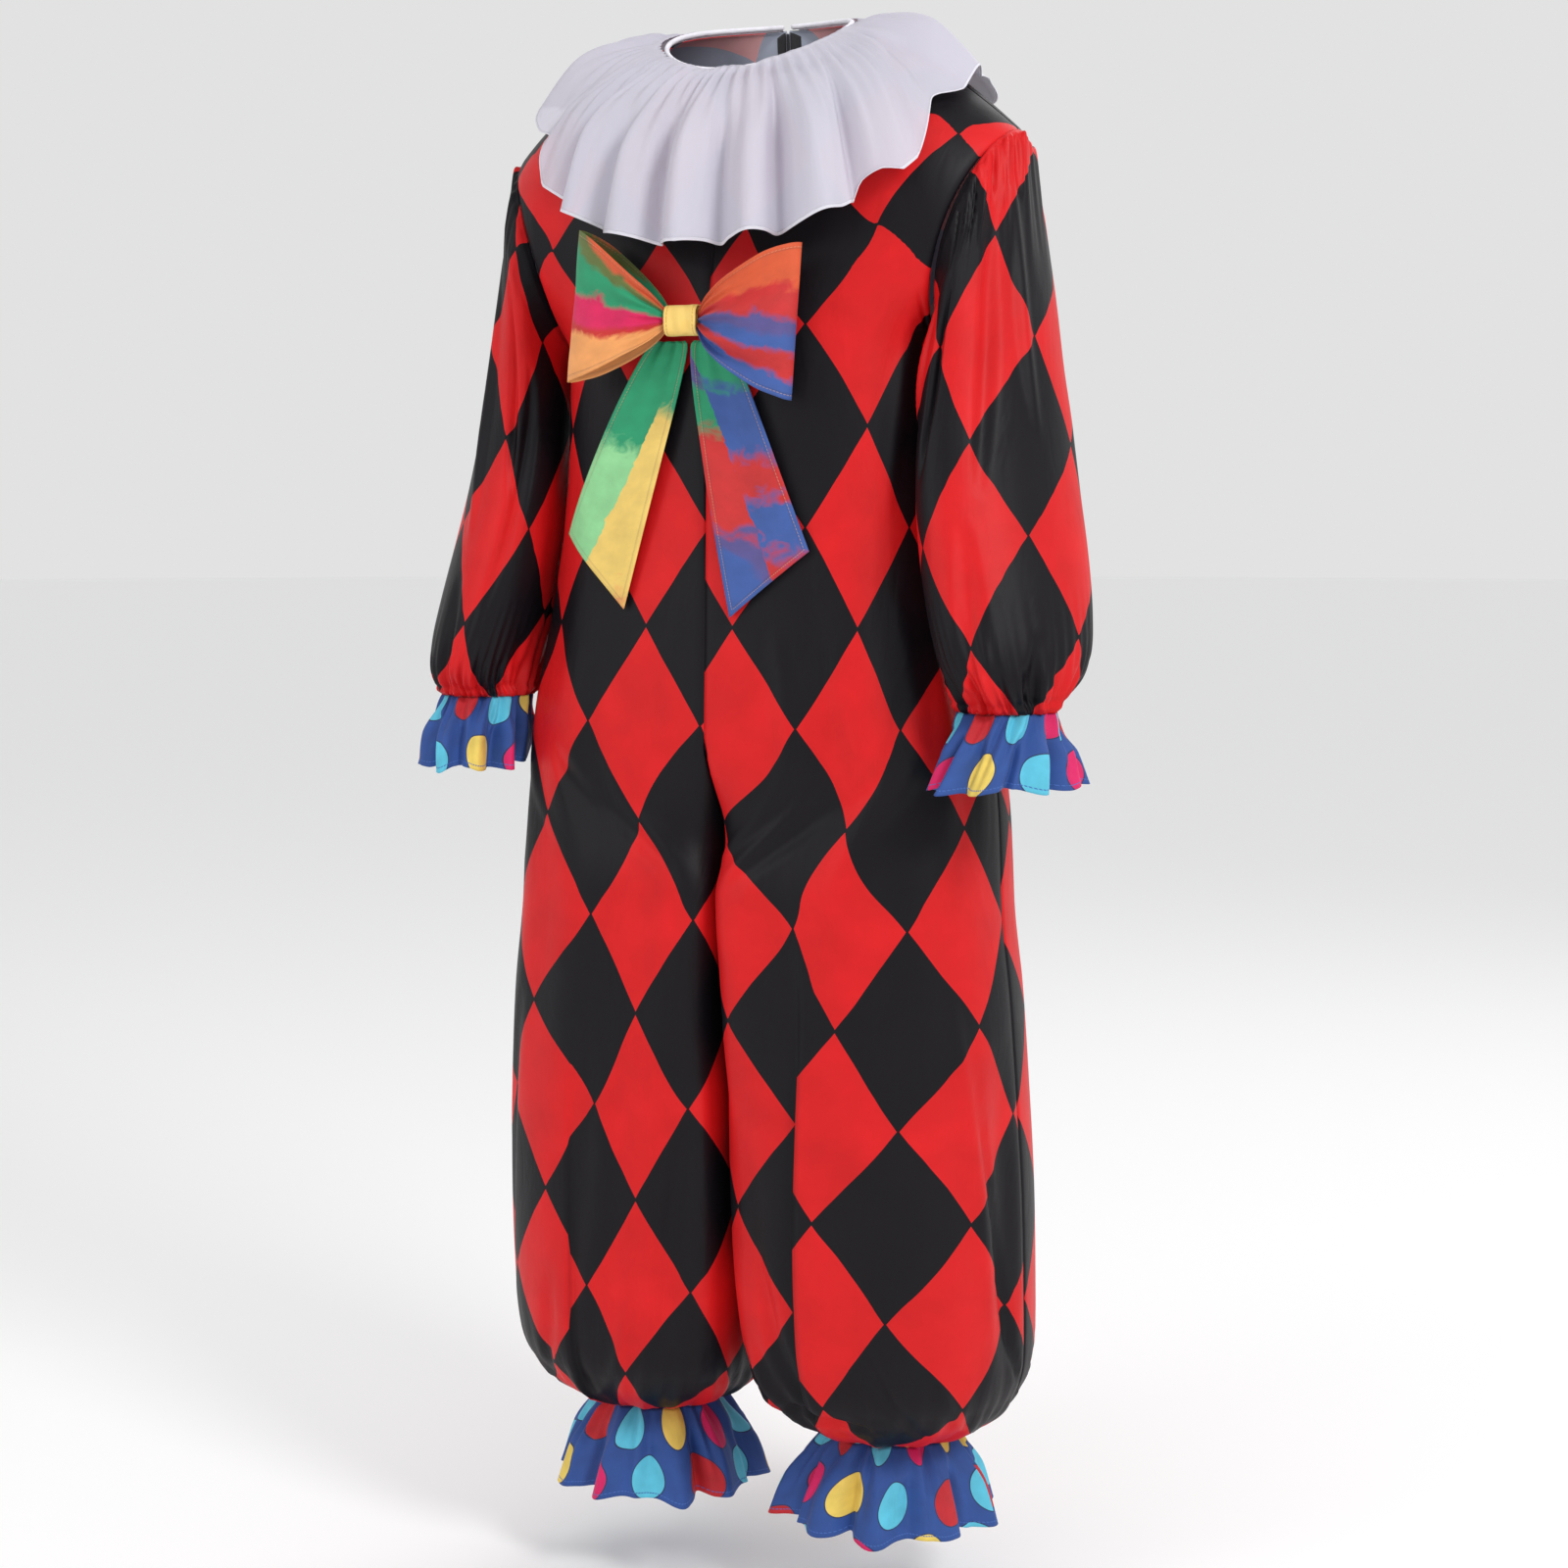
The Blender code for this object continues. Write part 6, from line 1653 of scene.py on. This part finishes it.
def dyed(name):
    cloth = Cloth(f"{name}_dye", roughness=0.66, sheen=0.10)
    flat, u, v = cloth.place("cut")
    run = named(DYE_RUNS, ribbon=name)[0]
    wander = cloth.noise(flat, scale=15.0, detail=2.5, distortion=0.8)
    bleed = cloth.noise(flat, scale=70.0, detail=5.0, distortion=1.5)
    way = cloth.scaled(u, run["along"]), cloth.scaled(v, run["across"])
    value = cloth.total(*way, run["start"] + DYE_SHIFT)
    value = cloth.total(value, cloth.scaled(wander, DYE_WANDER), cloth.scaled(bleed, DYE_BLEED))
    colour = cloth.ramp(value, dye_stops(DYES[name]))
    if name in INNER_DYES:
        stray = cloth.scaled(wander, HALVES_WANDER), cloth.scaled(bleed, HALVES_BLEED)
        inner = cloth.math("GREATER_THAN", cloth.total(u, *stray, -DYE_HALVES - HALVES_MEAN), 0.0)
        colour = cloth.mix(inner, colour, cloth.ramp(value, dye_stops(INNER_DYES[name])))
    stitch = cloth.stitches("ribbon")
    # a thin band of painted shade along the step where the ribbon's turned edge ends, with a matching groove
    # in the relief
    turned = cloth.band(cloth.place("edge")[2], *TURNED_EDGE)
    colour = cloth.mix(cloth.scaled(turned, TURNED_PAINTED_SHADE_SHARE), colour, TURNED_EDGE_PAINTED_SHADE)
    colour = cloth.mix(cloth.scaled(stitch, RIBBON_THREAD_SHARE), colour, RIBBON_THREAD)
    cloth.look("Base Color", cloth.shaded(colour, cloth.noise(flat, scale=45.0, detail=4.0)))
    cloth.woven("ribbon", cloth.scaled(turned, TURNED_SINK), cloth.scaled(stitch, RIBBON_STITCH_SINK))
    return cloth.material


def yellow_band():
    cloth = Cloth("knot_yellow", roughness=0.66, sheen=0.10)
    stitch = cloth.stitches("knot")
    colour = cloth.mix(cloth.noise(cloth.place("cut")[0], scale=60.0, detail=3.0), *KNOT_YELLOWS)
    cloth.look("Base Color", cloth.mix(stitch, colour, KNOT_THREAD))
    cloth.woven("knot", cloth.scaled(stitch, KNOT_STITCH_SINK))
    return cloth.material


def tape_cloth():
    cloth = Cloth("zip_tape_weave", roughness=0.78, sheen=0.15)
    flat, u, v = cloth.place("cut")
    cloth.look("Base Color", cloth.mix(cloth.noise(flat, scale=200.0, detail=3.0), *TAPE_BLACKS))
    fuzz = cloth.noise(flat, scale=320.0, detail=2.0)
    cloth.relief(cloth.total(cloth.weave(u, v, *TAPE_THREADS), fuzz), distance=0.0003)
    return cloth.material


def coil_plastic():
    cloth = Cloth("zip_coil", roughness=0.36)
    grain = cloth.noise(cloth.add("ShaderNodeNewGeometry").outputs["Position"], scale=900.0, detail=3.0)
    cloth.look("Base Color", cloth.mix(grain, *COIL_BLACKS))
    cloth.relief(grain, distance=0.0001)
    return cloth.material


def enamel():
    """Black enamel on metal, rubbed brighter in small places."""
    cloth = Cloth("zip_enamel", roughness=0.34)
    cloth.look("Coat Weight", 0.35)
    spot = cloth.add("ShaderNodeTexCoord").outputs["Object"]
    worn = cloth.ramp(cloth.noise(spot, scale=420.0, detail=4.0), [(0.62, (0, 0, 0)), (0.70, (1, 1, 1))])
    cloth.look("Base Color", cloth.mix(worn, ENAMEL_BLACK, RUBBED_METAL))
    cloth.look("Metallic", cloth.scaled(worn, 0.9))
    cloth.relief(cloth.noise(spot, scale=1500.0, detail=2.0), distance=0.00006)
    return cloth.material


# ==== Making every piece =============================================================================
OUTSIDE = satin("harlequin_satin_body", DIAMOND_DOWN)
INSIDE = satin("harlequin_wrong_side", DIAMOND_DOWN, WRONG_RED, WRONG_BLACK, WRONG_SIDE_ROUGHNESS)
SLEEVE_OUTSIDE = satin("harlequin_satin_sleeve", 0.0)
SLEEVE_INSIDE = satin("harlequin_sleeve_wrong_side", 0.0, WRONG_RED, WRONG_BLACK, WRONG_SIDE_ROUGHNESS)

for (face, hand), (points, cut) in PANELS.items():
    outward = -FACES[face] * HANDS[hand]
    points = mirrored(points, hand)
    panel = shell(f"{face}_{hand}_cloth", points, cut, SATIN, OUTSIDE, INSIDE, outward=outward)
    settle(panel, "harlequin_satin", f"{face}_{hand}")

for hand in HANDS:
    points, cut = sleeve_points(hand)
    points = mirrored(points, hand)
    sleeve = shell(
        f"sleeve_{hand}_cloth", points, cut, SATIN / 2, SLEEVE_OUTSIDE, SLEEVE_INSIDE,
        wrap=True, outward=-HANDS[hand],
    )
    settle(sleeve, "harlequin_satin", f"sleeve_{hand}")

for spec in named(FRILLS):
    for hand in HANDS:
        phase = spec["phase"][hand]
        points, cut, edge = frill_points(spec, phase)
        name = f"{spec['where']}_frill_{hand}"
        cotton = dotted(f"dotted_cotton_{spec['where']}_{hand}", phase)
        points = mirrored(points, hand)
        outward = -HANDS[hand]
        frill = shell(f"{name}_cloth", points, cut, COTTON, cotton, wrap=True, outward=outward, edge=edge)
        settle(frill, "dotted_cotton", name)

points, cut, edge = collar_points()
collar = shell("collar_frill_cloth", points, cut, VOILE, voile(), edge=edge)
settle(collar, "white_chiffon", "collar_frill")


BINDING_STEPS = 300
BINDING_SIDES = 12
BINDING_CLEAR = 0.0002
BINDING_ENDS = 0.55  # of its radius
BINDING_UNEVEN = 0.05
BINDING_WAVES = (900, 130)  # two waves of its thickness, in radians to a metre
BINDING_STEP = 0.01  # radians to either side of a place, from which its direction is taken
BINDING_THICKNESS = 0.4  # of its radius


def beside(ahead):
    """The directions sideways and upward from the one ahead."""
    side = unit(np.cross(ahead, (0.0, 0.0, 1.0)))
    return side, np.cross(side, ahead)


def binding_points():
    """A closed tube round the neckline, open at the back, with slightly uneven thickness."""
    end = math.pi - BINDING_OPENING / NECK_HALF_WIDTH
    turns = np.linspace(end, -end, BINDING_STEPS)
    side, up = beside(unit(neck_point(turns - BINDING_STEP) - neck_point(turns + BINDING_STEP)))
    centres = neck_point(turns) + up * (BINDING_RADIUS + BINDING_CLEAR) + side * BINDING_INSET
    side, up = beside(unit(np.gradient(centres, axis=0)))
    angle = 2 * math.pi * np.arange(BINDING_SIDES)[None, :, None] / BINDING_SIDES
    run = along(centres[:, None], 0)[:, 0]
    fine, broad = BINDING_WAVES
    size = BINDING_RADIUS * (1 + BINDING_UNEVEN * np.sin(run * fine) * np.sin(run * broad + 1))
    size[[0, -1]] *= BINDING_ENDS
    ring = np.cos(angle) * side[:, None] + np.sin(angle) * up[:, None]
    around = np.linspace(0, 2 * math.pi * BINDING_RADIUS, BINDING_SIDES + 1)[None, :]
    return centres[:, None] + ring * size[:, None, None], pairs(around, run[:, None])


points, cut = binding_points()
white = plain_white("binding_white", BINDING_WHITE)
binding = shell("neck_binding_cloth", points, cut, BINDING_RADIUS * BINDING_THICKNESS, white, wrap=True)
settle(binding, "white_chiffon", "neck_binding")

for hand in HANDS:
    side = HANDS[hand]
    points, cut, edge = loop_points(hand)
    dye = dyed(f"bow_loop_{hand}")
    loop = shell(f"bow_loop_{hand}_cloth", points, cut, RIBBON, dye, outward=side, edge=edge)
    settle(loop, "dyed_ribbon", f"bow_loop_{hand}")
    points, cut, edge = tail_points(hand)
    dye = dyed(f"bow_tail_{hand}")
    tail = shell(f"bow_tail_{hand}_cloth", points, cut, RIBBON, dye, outward=-side, edge=edge)
    settle(tail, "dyed_ribbon", f"bow_tail_{hand}")

points, cut, edge = knot_points()
knot = shell("bow_knot_cloth", points, cut, RIBBON, yellow_band(), wrap=True, edge=edge)
settle(knot, "knot_ribbon", "bow_knot")

points, cut = tape_points()
for hand in HANDS:
    half = mirrored(points, hand)
    tape = shell(f"zip_tape_{hand}_cloth", half, cut, ZIP_TAPE, tape_cloth(), outward=HANDS[hand])
    settle(tape, "zip_tape", f"zip_tape_{hand}")
settle(zip_teeth(coil_plastic()), "zip_tape", "zip_chain")

points, cut, edge = label_points()
label_weave = plain_white("label_cloth_weave", LABEL_WHITE)
label = shell("neck_label_cloth", points, cut, LABEL_THICKNESS, label_weave, edge=edge)
settle(label, "label_cloth", "neck_label")

METAL_ROUNDING = 0.00022
for name in ("zip_slider", "zip_pull"):
    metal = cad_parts[name]
    metal.data.materials.clear()
    metal.data.materials.append(enamel())
    rounding = metal.modifiers.new("rounding", "BEVEL")
    rounding.width = METAL_ROUNDING
    rounding.segments = 2
    rounding.limit_method = "ANGLE"


# ==== Floor, light and camera ========================================================================
FLOOR_Z = -1.54
FLOOR_RADII = (1.5, 4.0, 12.0, 40.0)
FLOOR_SIDES = 96
FLOOR_GREY = (0.965, 0.965, 0.97, 1.0)
SKY_STRENGTH = 0.76
CAMERA_AIM = (0.0165, 0.007, -0.722)
CAMERA_AWAY = 2.60
CAMERA_AZIMUTH = 25.0
CAMERA_ELEVATION = 6.0
CAMERA_LENS = 60.0
LIGHTS = [
    ("name", "place", "aim", "size", "watts"),
    ("key", (2.9, -1.5, 1.5), (0.0, 0.0, -0.7), 1.1, 64.0),
    ("fill", (-1.7, -2.7, 0.4), (0.0, 0.0, -0.8), 1.4, 18.0),
    ("back", (1.0, 3.0, 1.6), (0.0, 0.0, -0.5), 2.2, 24.0),
]


def floor():
    turns = [2 * math.pi * k / FLOOR_SIDES for k in range(FLOOR_SIDES)]
    round_one = [(math.cos(turn), math.sin(turn)) for turn in turns]
    points = [(radius * x, radius * y, FLOOR_Z) for radius in FLOOR_RADII for x, y in round_one]
    faces = [tuple(range(FLOOR_SIDES))]
    for start in range(0, len(points) - FLOOR_SIDES, FLOOR_SIDES):
        for k in range(FLOOR_SIDES):
            a, b = start + k, start + (k + 1) % FLOOR_SIDES
            faces.append((a, a + FLOOR_SIDES, b + FLOOR_SIDES, b))
    mesh = bpy.data.meshes.new("floor")
    mesh.from_pydata(points, [], faces)
    plane = link("floor", mesh)
    cover = Cloth("pale_floor", roughness=0.75)
    cover.look("Base Color", FLOOR_GREY)
    mesh.materials.append(cover.material)


def point_at(thing, place, aim):
    thing.location = place
    thing.rotation_euler = (Vector(aim) - Vector(place)).to_track_quat("-Z", "Y").to_euler()


def light_up():
    for spec in named(LIGHTS):
        lamp = bpy.data.lights.new(spec["name"], "AREA")
        lamp.shape = "DISK"
        lamp.size = spec["size"]
        lamp.energy = spec["watts"]
        point_at(link(spec["name"], lamp), spec["place"], spec["aim"])
    world = bpy.data.worlds.new("studio")
    world.use_nodes = True
    sky = world.node_tree.nodes["Background"]
    sky.inputs["Color"].default_value = (1.0, 1.0, 1.0, 1.0)
    sky.inputs["Strength"].default_value = SKY_STRENGTH
    bpy.context.scene.world = world
    bpy.context.scene.view_settings.view_transform = "Standard"


def stand_camera():
    turn, rise = math.radians(CAMERA_AZIMUTH), math.radians(CAMERA_ELEVATION)
    away = Vector((math.sin(turn) * math.cos(rise), -math.cos(turn) * math.cos(rise), math.sin(rise)))
    data = bpy.data.cameras.new("camera")
    data.lens = CAMERA_LENS
    data.sensor_width = 36.0
    data.clip_start = 0.05
    camera = link("camera", data)
    point_at(camera, Vector(CAMERA_AIM) + away * CAMERA_AWAY, CAMERA_AIM)
    bpy.context.scene.camera = camera


floor()
light_up()
stand_camera()
